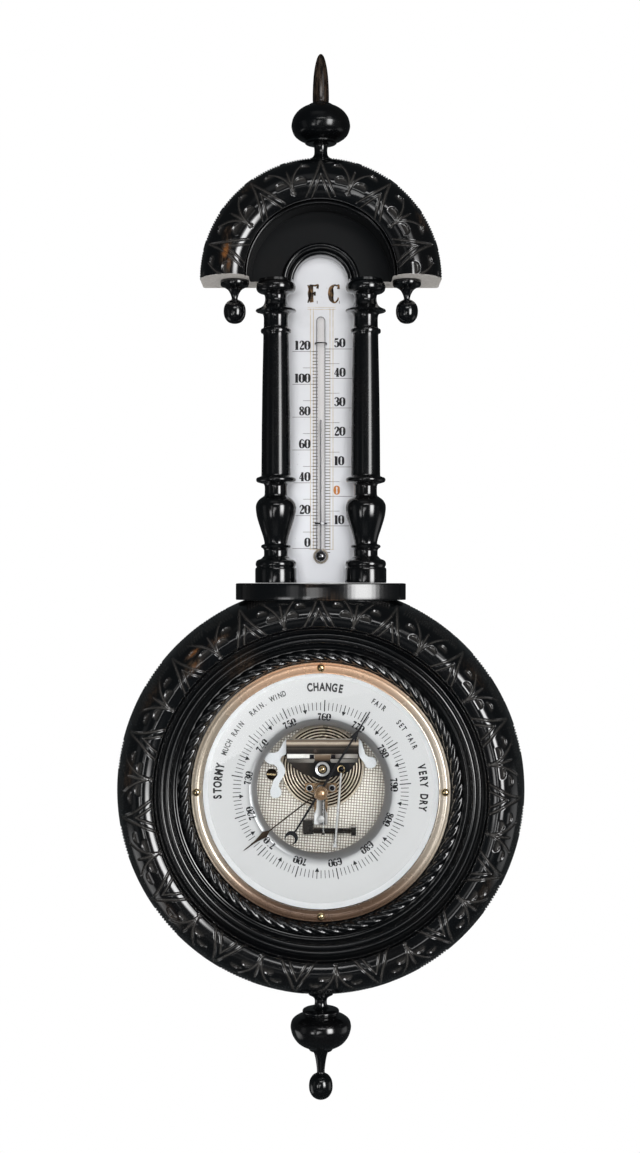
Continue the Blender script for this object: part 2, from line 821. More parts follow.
def tube_piece(name: str, path: Points, radii: Sequence[float], sides: int = 20) -> Piece:
    """A round bar or wire along a path, with a radius at each point and closed ends.

    Args:
        name: the piece's name.
        path: points in millimetres.
        radii: the radius at each point.
        sides: the number of sides.

    Returns:
        The object.
    """
    line = np.array(path, float)
    along = np.gradient(line, axis=0)
    along /= np.linalg.norm(along, axis=1, keepdims=True)
    across = np.cross(along[0], [0.31, 0.17, 0.93])
    rings = []
    for point, way, radius in zip(line, along, radii):
        across = across - way * across.dot(way)
        across /= np.linalg.norm(across)
        beside = np.cross(way, across)
        turn = np.arange(sides)[:, None] * (2 * math.pi / sides)
        rings.append(point + radius * (np.cos(turn) * across + np.sin(turn) * beside))
    faces = grid_faces(len(rings), sides, False, True).tolist()
    faces.append(list(range(sides))[::-1])
    faces.append([(len(rings) - 1) * sides + i for i in range(sides)])
    return mesh_object(name, np.concatenate(rings), faces, weld=True)


def join_pieces(name: str, pieces: Sequence[Piece]) -> Piece:
    """Joins meshes into one piece.

    Args:
        name: the joined piece's name.
        pieces: the objects, which are used up.

    Returns:
        The object.
    """
    points, faces = [], []
    for piece in pieces:
        start = len(points)
        points += [vertex.co / MM for vertex in piece.data.vertices]
        faces += [[start + i for i in face.vertices] for face in piece.data.polygons]
        bpy.data.objects.remove(piece)
    return mesh_object(name, np.array([list(p) for p in points]), faces)


def arc(x: float, z: float, radius: float, start: float, end: float, steps: int = 24) -> list[Point]:
    """Points on an arc, with angles in degrees from +x."""
    angles = np.radians(np.linspace(start, end, steps + 1))
    return [(x + radius * math.cos(a), z + radius * math.sin(a)) for a in angles]


def oblong(left: float, right: float, foot: float, top: float) -> list[Point]:
    """The outline of an oblong between two sides, a foot and a top."""
    return [(left, foot), (right, foot), (right, top), (left, top)]


def bead(
    width: float, middle: float, rise: float, count: int, start: float = 0.0, end: float = math.pi
) -> list[Point]:
    """The profile of a bead, from its back at an angle of 0 to its front at pi.

    Args:
        width: its radius across.
        middle: the depth, or the height, of its middle.
        rise: its radius along the axis.
        count: the number of points.
        start: the angle of the first point.
        end: the angle of the last point.

    Returns:
        The points.
    """
    return [(width * math.sin(t), middle - rise * math.cos(t)) for t in np.linspace(start, end, count)]


def turn_clockwise(obj: Piece, degrees: float) -> Piece:
    """Turns a piece about the dial's axis, clockwise for the viewer."""
    obj.data.transform(Matrix.Rotation(math.radians(degrees), 4, "Y"))
    return obj


def dress(
    obj: Piece,
    finish: Finish,
    body: str = "frame",
    nodes: Sequence[str] = (),
    sharp: float = 34.0,
) -> Piece:
    """Gives a piece its finish, its shading, its body and the nodes it stands for.

    Args:
        obj: the piece.
        finish: its finish.
        body: the body it moves with.
        nodes: the nodes that it replaces.
        sharp: edges sharper than this many degrees stay crisp.

    Returns:
        The piece.
    """
    obj.data.materials.clear()
    obj.data.materials.append(finish.material())
    obj.data.polygons.foreach_set("use_smooth", [True] * len(obj.data.polygons))
    obj.data.set_sharp_from_angle(angle=math.radians(sharp))
    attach(obj, body)
    if nodes:
        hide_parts(*nodes)
    LOG.info("%s: %d faces, on %s", obj.name, len(obj.data.polygons), body)
    return obj


def soften(obj: Piece, bevel: float) -> None:
    """Rounds a piece's edges with a radius in millimetres."""
    soft = obj.modifiers.new("soft_edges", "BEVEL")
    soft.width, soft.segments, soft.limit_method = bevel * MM, 2, "ANGLE"
    soft.angle_limit = math.radians(40)
    soft.harden_normals = False


def dress_node(node: str, finish: Finish, bevel: float) -> None:
    """Gives a node of the frame its finish, and edges with a radius in millimetres."""
    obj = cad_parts[node]
    obj.data.materials.clear()
    obj.data.materials.append(finish.material())
    soften(obj, bevel)
    LOG.info("%s keeps its solid", node)


# Carving


@dataclass(frozen=True)
class Stroke:
    """One cut of the carver: a line of angle and radius with a width and a depth."""

    line: Points
    width: float
    depth: float


@dataclass(frozen=True)
class Thumbnail:
    """A gouge cut with a steep round wall on its outer side."""

    angle: float
    radius: float
    size: float
    depth: float


@dataclass(frozen=True)
class Carving:
    """A repeat of pointed arches and fleurs, mirrored about the arch's point."""

    pitch: float
    strokes: tuple[Stroke, ...]
    thumbnails: tuple[Thumbnail, ...]
    notch_angles: tuple[float, ...]
    notch_radii: Point
    notch_depth: float = 1.1
    notch_width: float = 0.62
    unevenness: float = 0.35
    seed: int = 7
    offset: float = 0.0
    drift: Point = (0.0, 0.0)

    def depth(
        self, angle: Array, level: Array, radius: Array, place: Callable[[float], Point]
    ) -> tuple[Array, Array]:
        """How deep the carving cuts, and how much dust it holds.

        Args:
            angle: degrees from the top at each point.
            level: the distance along the section at each point, in millimetres.
            radius: the radius at each point, in millimetres.
            place: turns a drawn radius into a level and a radius.

        Returns:
            The depth in millimetres and the share of dust.
        """
        amount, phase = self.drift
        angle = angle - self.offset - amount * np.cos(np.radians(angle - phase))
        repeat = np.round(angle / self.pitch)
        local = angle - repeat * self.pitch
        side = np.sign(local)
        chance = np.random.default_rng(self.seed)
        table = chance.normal(0.0, self.unevenness, (64, 2, 3))
        pick = table[repeat.astype(int) % 64, (side > 0).astype(int)]
        folded = np.abs(local) + pick[..., 0] * np.sin(np.radians(np.abs(local) / self.pitch * 360)) * 0.5
        x = np.radians(folded) * radius
        y = level + pick[..., 1] * 0.5
        sunk = np.zeros_like(x)
        for stroke in self.strokes:
            drawn = [(a, *place(r)) for a, r in stroke.line]
            path = curve_through([(math.radians(a) * r, v) for a, v, r in drawn], 2.2)
            near, share = distance_to_line(x, y, path)
            width = stroke.width * (0.45 + 0.55 * np.sin(np.pi * np.clip(share * 0.86 + 0.14, 0, 1)) ** 0.6)
            sunk = np.maximum(sunk, stroke.depth * rounded(near / (1.15 * width)))
        lines = sunk
        for gouge in self.thumbnails:
            v, r = place(gouge.radius)
            dx, dy = x - math.radians(gouge.angle) * r, y - v
            away = np.hypot(dx, dy) / gouge.size
            scoop = np.clip((dy / gouge.size + 0.35) / 1.1, 0, 1) ** 1.3
            sunk = np.maximum(sunk, gouge.depth * scoop * rounded((away - 0.86) / 0.3))
        low, high = (place(r)[0] for r in self.notch_radii)
        for notch in self.notch_angles:
            off = np.abs(x - math.radians(notch) * radius - (y - low) * 0.12)
            reach = np.clip((y - low) / 0.9, 0, 1) * np.clip((high - y) / 1.2, 0, 1)
            sunk = np.maximum(sunk, self.notch_depth * rounded(off / self.notch_width) * reach)
        return sunk, np.clip(np.maximum(lines, sunk * 0.55) / 0.6, 0, 1)


def rounded(share: Array) -> Array:
    """A smooth fall from 1 at a share of 0 to 0 at a share of 1."""
    return 0.5 + 0.5 * np.cos(np.pi * np.clip(share, 0, 1))


def distance_to_line(x: Array, y: Array, path: Array) -> tuple[Array, Array]:
    """Distance of points to a line, and the share of the line's length where it is nearest.

    Args:
        x: the points' first coordinates.
        y: their second coordinates.
        path: the line's points.

    Returns:
        The distances and the shares.
    """
    best = np.full(x.shape, 1e9)
    share = np.zeros(x.shape)
    lengths = np.linalg.norm(np.diff(path, axis=0), axis=1)
    total, run = lengths.sum(), 0.0
    for (ax, ay), (bx, by), length in zip(path, path[1:], lengths):
        dx, dy = bx - ax, by - ay
        t = np.clip(((x - ax) * dx + (y - ay) * dy) / (length * length + 1e-12), 0, 1)
        far = np.hypot(x - ax - t * dx, y - ay - t * dy)
        nearer = far < best
        best = np.where(nearer, far, best)
        share = np.where(nearer, (run + t * length) / total, share)
        run += length
    return best, share


@dataclass(frozen=True)
class Patch:
    """A worn place: its angle from the top, radius, half width, strength and stretch along the ring."""

    angle: float
    radius: float
    size: float
    strength: float = 1.0
    stretch: float = 1.0


def carved_ring(
    name: str,
    section: Array,
    angles: Array,
    carving: Carving,
    patches: Sequence[Patch],
    closed: bool,
    centre_height: float = 0.0,
    top: float = 1e9,
) -> Piece:
    """A carved ring or half ring.

    Args:
        name: the piece's name.
        section: radius and depth from the inner edge round to the back.
        angles: degrees from the top of each column of points.
        carving: the carving.
        patches: the worn places.
        closed: whether the ring is whole.
        centre_height: the height of its centre.
        top: the height at which it is cut flat.

    Returns:
        The object.
    """
    steps = np.diff(section, axis=0)
    level = np.concatenate([[0.0], np.cumsum(np.linalg.norm(steps, axis=1))])
    drawn = section[:, 0] * VIEW_SCALE / (VIEW_DISTANCE - section[:, 1])
    front = slice(0, int(np.argmax(drawn)) + 1)
    rising = np.maximum.accumulate(drawn[front])

    def place(radius: float) -> Point:
        """Level and radius of a drawn radius; past the edge it runs on round the side."""
        if radius > rising[-1]:
            beyond = level[front][-1] + (radius - rising[-1])
            return float(beyond), float(np.interp(beyond, level, section[:, 0]))
        found = float(np.interp(radius, rising, level[front]))
        return found, float(np.interp(found, level, section[:, 0]))

    along = np.gradient(section, axis=0)
    along /= np.linalg.norm(along, axis=1, keepdims=True) + 1e-12
    outward = np.stack([-along[:, 1], along[:, 0]], axis=1)
    angle = np.repeat(angles[None, :], len(section), axis=0)
    far = np.repeat(section[:, :1], len(angles), axis=1)
    sunk, dusty = carving.depth(angle, np.repeat(level[:, None], len(angles), axis=1), far, place)
    radius = far - sunk * outward[:, :1]
    depth = section[:, 1:] - sunk * outward[:, 1:]
    turn = np.radians(angle)
    points = np.stack([radius * np.sin(turn), -depth, centre_height + radius * np.cos(turn)], axis=2)
    points[..., 2] = np.minimum(points[..., 2], top)
    faces = grid_faces(len(section), len(angles), False, closed)
    obj = mesh_object(name, points.reshape(-1, 3), faces)
    worn = np.zeros(angle.shape)
    for patch in patches:
        beside = np.radians((angle - patch.angle + 180) % 360 - 180) * patch.radius / patch.stretch
        away = np.hypot(beside, far - patch.radius) / patch.size
        worn = np.maximum(worn, patch.strength * np.exp(-(away**2)))
    set_share(obj, "wear", worn.ravel())
    set_share(obj, "cut", dusty.ravel())
    return obj


def set_share(obj: Piece, name: str, shares: Array) -> None:
    """Stores a share between 0 and 1 at each point of a piece, such as its wear."""
    attribute = obj.data.attributes.new(name, "FLOAT", "POINT")
    attribute.data.foreach_set("value", shares.astype(np.float32))


def share_by(obj: Piece, name: str, rule: Callable[[Array], Array]) -> None:
    """Stores a share that a rule works out from the points' places in millimetres."""
    points = np.empty(len(obj.data.vertices) * 3)
    obj.data.vertices.foreach_get("co", points)
    set_share(obj, name, np.clip(rule(points.reshape(-1, 3) / MM), 0, 1))


# Lettering of the scales


class Numerals:
    """Bold numerals and letters with thick and thin strokes, drawn for this scale.

    Each glyph is a width and strokes of points x, y and thickness in a box 100 high.
    """

    GLYPHS: dict[str, tuple[float, Sequence[Points]]] = {
        "0": (56, (
            ((28, 97, 5), (9, 80, 15), (7.5, 50, 19), (9, 20, 15), (28, 3, 5), (47, 20, 15),
             (48.5, 50, 19), (47, 80, 15), (28, 97, 5)),
        )),
        "1": (42, (
            ((22, 97, 19), (22, 4, 19)),
            ((3, 86, 4), (20, 97, 7)),
            ((4, 2.5, 5), (40, 2.5, 5)),
        )),
        "2": (54, (
            ((13, 74, 15), (9, 82, 8), (25, 96.5, 6), (42, 84, 16), (42, 64, 16), (20, 33, 7), (6, 6, 5)),
            ((5, 9, 10), (28, 9, 15), (46, 9, 11), (50, 24, 5)),
        )),
        "3": (54, (
            ((10, 78, 13), (13, 90, 6), (26, 96.5, 6), (41, 84, 15), (41, 66, 14), (22, 53, 5)),
            ((22, 53, 5), (42, 42, 15), (44, 22, 17), (25, 3.5, 6), (10, 10, 7), (9, 24, 14)),
        )),
        "4": (56, (
            ((36, 97, 14), (36, 4, 18)),
            ((34, 95, 5), (4, 30, 6)),
            ((3, 28, 6), (54, 28, 6)),
            ((22, 2.5, 5), (52, 2.5, 5)),
        )),
        "5": (54, (
            ((10, 93, 6), (8, 52, 5)),
            ((9, 90, 13), (30, 89, 14), (46, 95, 7)),
            ((8, 52, 5), (28, 62, 7), (43, 46, 16), (43, 20, 17), (25, 3.5, 6), (10, 9, 7), (9, 22, 14)),
        )),
        "6": (54, (
            ((45, 80, 12), (40, 92, 6), (28, 96.5, 6), (12, 78, 14), (8, 45, 18), (12, 16, 14),
             (28, 3.5, 5), (44, 16, 15), (44, 42, 15), (28, 55, 5), (12, 40, 6)),
        )),
        "7": (50, (
            ((5, 88, 14), (25, 89, 15), (44, 92, 10)),
            ((5, 96, 5), (5, 76, 4)),
            ((45, 93, 5), (25, 50, 10), (20, 6, 20)),
        )),
        "8": (54, (
            ((27, 96.5, 5), (12, 84, 14), (14, 66, 14), (28, 52, 13), (43, 36, 15), (43, 16, 13),
             (27, 3.5, 5), (10, 16, 13), (10, 36, 12), (28, 52, 6), (41, 67, 11), (40, 85, 12),
             (27, 96.5, 5)),
        )),
        "9": (54, (
            ((9, 20, 12), (14, 8, 6), (26, 3.5, 6), (42, 22, 14), (46, 55, 18), (42, 84, 14),
             (26, 96.5, 5), (10, 84, 15), (10, 58, 15), (26, 45, 5), (42, 60, 6)),
        )),
        "F": (62, (
            ((20, 97, 14), (16, 50, 20), (22, 4, 13)),
            ((2, 98, 5), (14, 50, 6), (2, 2, 5)),
            ((12, 97, 5), (40, 94, 7), (56, 98, 6), (52, 78, 9)),
            ((22, 52, 6), (38, 52, 6)),
            ((38, 62, 8), (38, 40, 8)),
            ((50, 5, 10), (53, 5, 10)),
        )),
        "C": (62, (
            ((50, 76, 10), (52, 97, 6), (42, 93, 5), (30, 97, 6), (12, 80, 15), (10, 50, 21),
             (13, 20, 15), (30, 3, 6), (46, 16, 6), (50, 30, 5)),
            ((20, 86, 4), (21, 50, 5), (20, 14, 4)),
            ((54, 5, 10), (57, 5, 10)),
        )),
    }

    @classmethod
    def width(cls, text: str, height: float, gap: float = 0.07) -> float:
        """The width of a line of text, in the height's unit."""
        return sum(cls.GLYPHS[c][0] / 100 + gap for c in text) * height - gap * height

    @classmethod
    def ribbons(
        cls, text: str, x: float, y: float, height: float, gap: float = 0.07, weight: float = 1.55
    ) -> tuple[list[Point], list[list[int]]]:
        """Flat shapes of a line of text whose lower left corner is at x and y.

        Args:
            text: the numerals or letters.
            x: the left edge.
            y: the foot.
            height: the height.
            gap: the space between glyphs, as a share of the height.
            weight: how much thicker the strokes are than drawn.

        Returns:
            Points and faces.
        """
        points: list[Point] = []
        faces: list[list[int]] = []
        for glyph in text:
            wide, strokes = cls.GLYPHS[glyph]
            for stroke in (np.array(stroke) / 100 for stroke in strokes):
                whole = stroke[:, :2]
                line = curve_through(whole, 0.035)
                places = np.concatenate([[0], np.cumsum(np.linalg.norm(np.diff(whole, axis=0), axis=1))])
                run = np.concatenate([[0], np.cumsum(np.linalg.norm(np.diff(line, axis=0), axis=1))])
                thick = np.interp(run * places[-1] / run[-1], places, stroke[:, 2])
                along = np.gradient(line, axis=0)
                along /= np.linalg.norm(along, axis=1, keepdims=True) + 1e-9
                side = np.stack([-along[:, 1], along[:, 0]], axis=1) * thick[:, None] * weight / 2
                start = len(points)
                for pair in zip(line + side, line - side):
                    points += [(x + edge[0] * height, y + edge[1] * height) for edge in pair]
                faces += [[a, a + 1, a + 3, a + 2] for a in range(start, len(points) - 2, 2)]
            x += (wide / 100 + gap) * height
        return points, faces


class Print:
    """Flat printed marks that are gathered into one piece on a scale."""

    def __init__(self, name: str, depth: Callable[[Array, Array], Array]) -> None:
        """Starts an empty print.

        Args:
            name: the piece's name.
            depth: the depth of the print at x and z.
        """
        self.name = name
        self.depth = depth
        self.points: list[Point] = []
        self.faces: list[list[int]] = []

    def add(self, points: Points, faces: Sequence[Sequence[int]]) -> None:
        """Adds flat shapes."""
        start = len(self.points)
        self.points += [tuple(p) for p in points]
        self.faces += [[start + i for i in face] for face in faces]

    def bar(self, start: Point, end: Point, width: float, far_width: float | None = None) -> None:
        """Adds a straight line of a width, which may taper."""
        far_width = width if far_width is None else far_width
        a, b = np.array(start), np.array(end)
        side = np.array([-(b - a)[1], (b - a)[0]]) / (np.linalg.norm(b - a) + 1e-9)
        near, far = side * width / 2, side * far_width / 2
        self.add([tuple(c) for c in (a + near, a - near, b - far, b + far)], [[0, 1, 2, 3]])

    def text_round(self, text: str, radius: float, degrees: float, height: float) -> None:
        """Adds numerals whose middle stands on a radius, with their tops outwards."""
        wide = Numerals.width(text, height)
        points, faces = Numerals.ribbons(text, -wide / 2, -height / 2, height)
        bent = []
        for x, y in points:
            turn = math.radians(degrees) + x / radius
            bent.append(((radius + y) * math.sin(turn), (radius + y) * math.cos(turn)))
        self.add(bent, faces)

    def piece(self) -> Piece:
        """Makes the printed piece, facing the viewer."""
        flat = np.array(self.points)
        points = np.stack([flat[:, 0], -self.depth(flat[:, 0], flat[:, 1]), flat[:, 1]], axis=1)
        return mesh_object(self.name, points, self.faces)


# Sub-assemblies


@dataclass
class CaseWork:
    """The round case: carved ring, inner mouldings, rope, shelf and back board."""

    band: Points = (
        (98.35, 52.6, 1), (98.55, 54.3), (99.1, 55.3), (99.7, 54.7), (99.95, 53.6, 1), (100.1, 55.9),
        (100.5, 57), (101.2, 57.7, 1), (102.6, 58.45), (104.4, 59.15), (106.3, 59.5), (108.5, 59.15),
        (110.9, 58.1), (113.4, 56.4), (116.2, 53.6), (119.2, 49.2), (121.6, 43.6), (123.4, 37),
        (124.7, 29.5), (125.15, 22.8), (124.4, 10.8), (121.4, 3.6), (117, 0, 1), (100, 0, 1),
    )
    mouldings: Points = (
        (70, 5.8, 1), (70, 30.7, 1), (78.9, 30.7, 1), (78.9, 40.6, 1), (79.2, 40.9, 1), (86.7, 40.9, 1),
        (86.7, 44, 1), (86.8, 44.8), (87.2, 45), (87.6, 44.6), (87.7, 44.2, 1), (88.2, 43.7), (88.9, 43.9),
        (89.6, 44.8), (89.8, 46, 1), (90.1, 48), (90.8, 49.4), (91.8, 50.1), (92.9, 50), (93.8, 49.2, 1),
        (94.2, 50.3), (95, 51), (95.9, 51), (96.8, 50.2, 1), (97.1, 49.5), (97.5, 49.2), (98, 50),
        (98.35, 52.6, 1), (100, 52, 1), (100, 5.8, 1), (70, 5.8, 1),
    )
    rope_radius: float = 82.8
    rope_half_width: float = 3.6
    rope_back: float = 41.3
    rope_height: float = 4.95
    rope_strands: int = 64
    columns: int = 1920
    quick_columns: int = 480
    flat_top: float = 115.8
    shelf_half_width: float = 47.7
    shelf_bow: float = 13.7
    shelf_heights: Point = (116.1, 126.2)
    shelf_front: float = 38.2
    shelf_ear: Point = (52.0, 30.0)
    patches: tuple[Patch, ...] = (
        Patch(-42.0, 113.9, 1.5, 1.0, 3.6), Patch(-44.5, 108.0, 3.5, 0.55, 2.2),
        Patch(-33.0, 111.0, 2.5, 0.5, 3.0), Patch(-60.0, 118.0, 4.0, 0.36, 3.0),
        Patch(52.0, 117.0, 4.0, 0.32, 3.0), Patch(-84.0, 116.0, 4.0, 0.34, 3.0),
        Patch(120.0, 113.0, 4.0, 0.3, 3.0), Patch(-128.0, 114.0, 4.0, 0.3, 3.0),
    )

    def carving(self) -> Carving:
        """The carving of the band: arches 24 degrees apart with fleurs between them."""
        return Carving(
            pitch=24.0,
            strokes=(
                Stroke(((0, 201), (0.8, 194), (2.1, 185), (4.05, 175), (6.6, 166.5)), 0.95, 0.95),
                Stroke(((0.0, 187), (0.9, 180.5), (1.95, 174.5), (3.4, 167.5)), 0.8, 0.8),
                Stroke(
                    ((12.0, 171), (11.6, 177), (10.7, 184), (9.3, 190.5), (7.6, 196), (5.8, 200)), 0.95, 0.85
                ),
                Stroke(((12.0, 168.5), (12.0, 181), (12.0, 194)), 1.0, 0.8),
            ),
            thumbnails=(
                Thumbnail(12.0, 169.5, 1.5, 1.0),
                Thumbnail(8.7, 181.0, 3.5, 1.1),
                Thumbnail(5.9, 189.0, 3.5, 1.0),
                Thumbnail(10.0, 201.0, 2.6, 0.8),
            ),
            notch_angles=tuple(2.5 + 0.85 * i for i in range(11)),
            notch_radii=(198.0, 216.0),
            offset=-2.7,
            drift=(2.9, 315.0),
        )

    def build_ring(self) -> None:
        """Builds the carved band and the plain mouldings inside it."""
        columns = self.columns
        section = graded(curve_through(self.band, 0.34), 118.0)
        angles = (np.arange(columns) * (360.0 / columns) + 180) % 360 - 180
        carving, top = self.carving(), self.flat_top
        ring = carved_ring("case_band", section, angles, carving, self.patches, True, top=top)
        dress(ring, Finishes.wood, nodes=["case_ring"], sharp=60)
        inner = turned("case_mouldings", curve_through(self.mouldings, 0.3), 288)
        share_by(inner, "wear", lambda p: 0.34 * np.exp(-((np.hypot(p[:, 0] + 46, p[:, 2] - 75) / 13) ** 2)))
        dress(inner, Finishes.wood, nodes=["case_ring"])

    def build_rope(self) -> None:
        """Builds the twisted rope moulding."""
        around = self.rope_strands * 18
        phase = np.arange(around) / around
        over = np.linspace(0, 1, 17)
        turn, rise = np.meshgrid(phase * 2 * math.pi, over)
        strand = np.abs(np.sin(math.pi * (self.rope_strands * turn / (2 * math.pi) + 2.3 * rise))) ** 0.7
        full = 0.7 + 0.3 * strand
        radius = self.rope_radius - self.rope_half_width * np.cos(rise * math.pi) * full
        depth = self.rope_back + self.rope_height * np.sin(rise * math.pi) ** 0.8 * full
        points = np.stack([radius * np.sin(turn), -depth, radius * np.cos(turn)], axis=2)
        rope = mesh_object("rope_twist", points.reshape(-1, 3), grid_faces(len(over), around, False, True))
        dress(rope, Finishes.wood, nodes=["rope_moulding"], sharp=70)

    def shelf_wear(self, points: Array) -> Array:
        """Rubbed places along the shelf's two front edges."""
        worn = np.zeros(len(points))
        for edge, middle, half in ((116.2, 6.0, 10.0), (126.1, -6.0, 5.0)):
            away = ((points[:, 2] - edge) / 0.5) ** 2
            worn += np.exp(-away) * np.exp(-(((points[:, 0] - middle) / half) ** 2))
        return 0.75 * worn

    def build_shelf(self) -> None:
        """Builds the shelf with its bowed front and softened edges."""
        half, bow = self.shelf_half_width, self.shelf_bow
        ear, step = self.shelf_ear
        front = [(half * t, -self.shelf_front - bow * (1 - t * t)) for t in np.linspace(-1, 1, 40)]
        outline = [(ear, -step), (ear, 0), (-ear, 0), (-ear, -step), *front]
        shelf = flat_piece("shelf_board", [outline], *self.shelf_heights, 0.55, Facing.UP)
        cut = shelf.modifiers.new("finer", "SUBSURF")
        cut.subdivision_type, cut.levels, cut.render_levels = "SIMPLE", 2, 2
        share_by(shelf, "wear", self.shelf_wear)
        dress(shelf, Finishes.satin_wood, nodes=["shelf"])

    def build_back(self) -> None:
        """Dresses the back board and its screws."""
        dress_node("case_back", Finishes.board, 0.4)
        for node in ("back_screw_left", "back_screw_right"):
            dress_node(node, Finishes.steel, 0.12)

    def build(self) -> None:
        """Builds the whole case."""
        self.build_ring()
        self.build_rope()
        self.build_shelf()
        self.build_back()


@dataclass
class TurnedWork:
    """Columns, finials and drops, turned on the lathe."""

    sides: int = 96
    column: Points = (
        (0, 126.5, 1), (12.6, 126.5, 1), (12.75, 127.2, 1), (12.75, 134.6, 1), (12.5, 135.5),
        (11.9, 135.9, 1), (11.9, 136.3, 1), (12.4, 137.2), (12.45, 138.5), (12, 139.8), (10.8, 140.7, 1),
        (9.3, 141.2), (8.4, 141.9, 1), (8.2, 142.3), (7.5, 142.8), (7.35, 144.5), (7.45, 146.6),
        (8, 147.5, 1), (8.9, 148), (9.2, 148.8), (8.9, 149.5), (8, 150, 1), (7.2, 150.3), (7.15, 151.5),
        (8, 155), (9.8, 160.5), (11.6, 166.5), (12.35, 171.5), (12.1, 174.6), (10.6, 177.2), (8.4, 178.9),
        (7.2, 179.8, 1), (7, 180.6), (6.9, 183.2), (7, 185.8), (7.6, 187, 1), (9.6, 187.5), (11.6, 188.2),
        (12.2, 189.5), (11.7, 190.7), (9.9, 191.4, 1), (9.1, 191.8), (8.95, 193), (8.9, 200), (8.7, 225),
        (8.3, 252), (7.8, 276), (7.9, 278.2), (8.1, 279, 1), (9.1, 279.4), (9.4, 280.5), (9.1, 281.5),
        (8, 282, 1), (7.6, 282.6), (7.5, 285), (7.55, 289), (8.2, 290.9), (9.6, 291.8), (12, 292.3, 1),
        (12.5, 292.8), (12.1, 293.5), (10.2, 294.3), (7.9, 296), (6.85, 298.6), (6.7, 300.8), (7.2, 302.7),
        (8.6, 303.6, 1), (10.2, 303.9), (11.7, 305.2), (12.15, 307.3), (11.7, 309.4), (10.4, 310.6, 1),
        (10.3, 312, 1), (0, 312, 1),
    )
    top_finial: Points = (
        (0, 386.4, 1), (6.5, 386.4, 1), (6.8, 387), (6.4, 387.9), (5.2, 388.8), (4.3, 390.2), (4, 392.5),
        (4.3, 395.4), (5.4, 396.8, 1), (8.6, 397), (9.8, 397.6), (9.8, 398.4), (10.8, 399.1, 1),
        (13.6, 400.3), (16.5, 402.9), (17.9, 406.4), (18.05, 409), (17, 413), (14.4, 416.6), (10.8, 419.2),
        (8.1, 420.1, 1), (7.9, 420.7), (7, 421.3, 1), (5.4, 421.4), (5, 422.4), (5.05, 426), (4.9, 432),
        (4.45, 439), (3.6, 445), (2.4, 449.8), (1.1, 452.2), (0, 452.7, 1),
    )
    bottom_finial: Points = (
        (0, -125.6, 1), (7.6, -125.6, 1), (7.9, -126.3), (7.5, -127.2), (5.8, -128.1), (4.1, -129.6),
        (3.7, -132), (4.2, -134.2), (5.4, -135.5, 1), (8.8, -135.8), (11, -136.6), (11.3, -137.8),
        (10.8, -138.9), (11.4, -139.5, 1), (14.6, -140.7), (17.6, -143), (18.6, -146), (18.5, -148.6),
        (17.2, -152.6), (14.2, -156.6), (10.4, -159), (7.9, -159.6, 1), (7.7, -160.5), (6.9, -161.6, 1),
        (5, -162), (4.3, -163.2), (3.4, -166.5), (2.7, -171), (2.4, -174.8), (2.9, -176), (4.9, -177.2),
        (6.7, -179.9), (7.3, -183.4), (6.9, -186.9), (5.2, -189.9), (2.6, -191.6), (0, -191.9, 1),
    )
    drop: Points = (
        (0, 312, 1), (8.7, 312, 1), (8.9, 311.3), (8.7, 309.6), (8.2, 308.6, 1), (6.4, 307.9), (4.2, 306.4),
        (2.7, 304), (1.95, 301.8), (1.85, 300.9), (2.3, 300.3), (4.3, 299.2), (6.2, 296.7), (6.8, 293.3),
        (6.2, 289.7), (4.3, 287), (2, 285.9), (0, 285.75, 1),
    )
    column_offset: float = 27.4
    column_depth: float = 30.0
    finial_depth: float = 22.0
    drop_offset: float = 52.9
    drop_depth: float = 26.0
    satin_heights: tuple[float, float] = (193.0, 277.0)
    spire_foot: float = 421.5
    satin_crown: float = 398.0

    def turn(self, name: str, profile: Points, centre: Point, node: str, is_satin: bool = False) -> None:
        """Turns one upright piece and dresses it.

        Args:
            name: the piece's name.
            profile: its profile of radius and height.
            centre: the axis's place across and its depth.
            node: the node that it replaces.
            is_satin: whether its shaft is satin rather than polished.
        """
        piece = turned(name, curve_through(profile, 0.6), self.sides, centre, Facing.UP)
        low, high = self.satin_heights if is_satin else (0.0, 0.0)
        crown = self.satin_crown
        share_by(piece, "wear", lambda p: 0.36 * (p[:, 2] > self.spire_foot))
        share_by(piece, "satin", lambda p: (p[:, 2] > low) * (p[:, 2] < high) + (p[:, 2] > crown) * 1.0)
        dress(piece, Finishes.wood, nodes=[node])

    def build(self) -> None:
        """Turns every piece."""
        for side, name in ((-1, "left"), (1, "right")):
            column = (side * self.column_offset, self.column_depth)
            drop = (side * self.drop_offset, self.drop_depth)
            self.turn(f"{name}_pillar", self.column, column, f"{name}_column", True)
            self.turn(f"{name}_pendant", self.drop, drop, f"{name}_drop")
        self.turn("crown_spire", self.top_finial, (0.0, self.finial_depth), "top_finial")
        self.turn("lower_pendant", self.bottom_finial, (0.0, self.finial_depth), "bottom_finial")


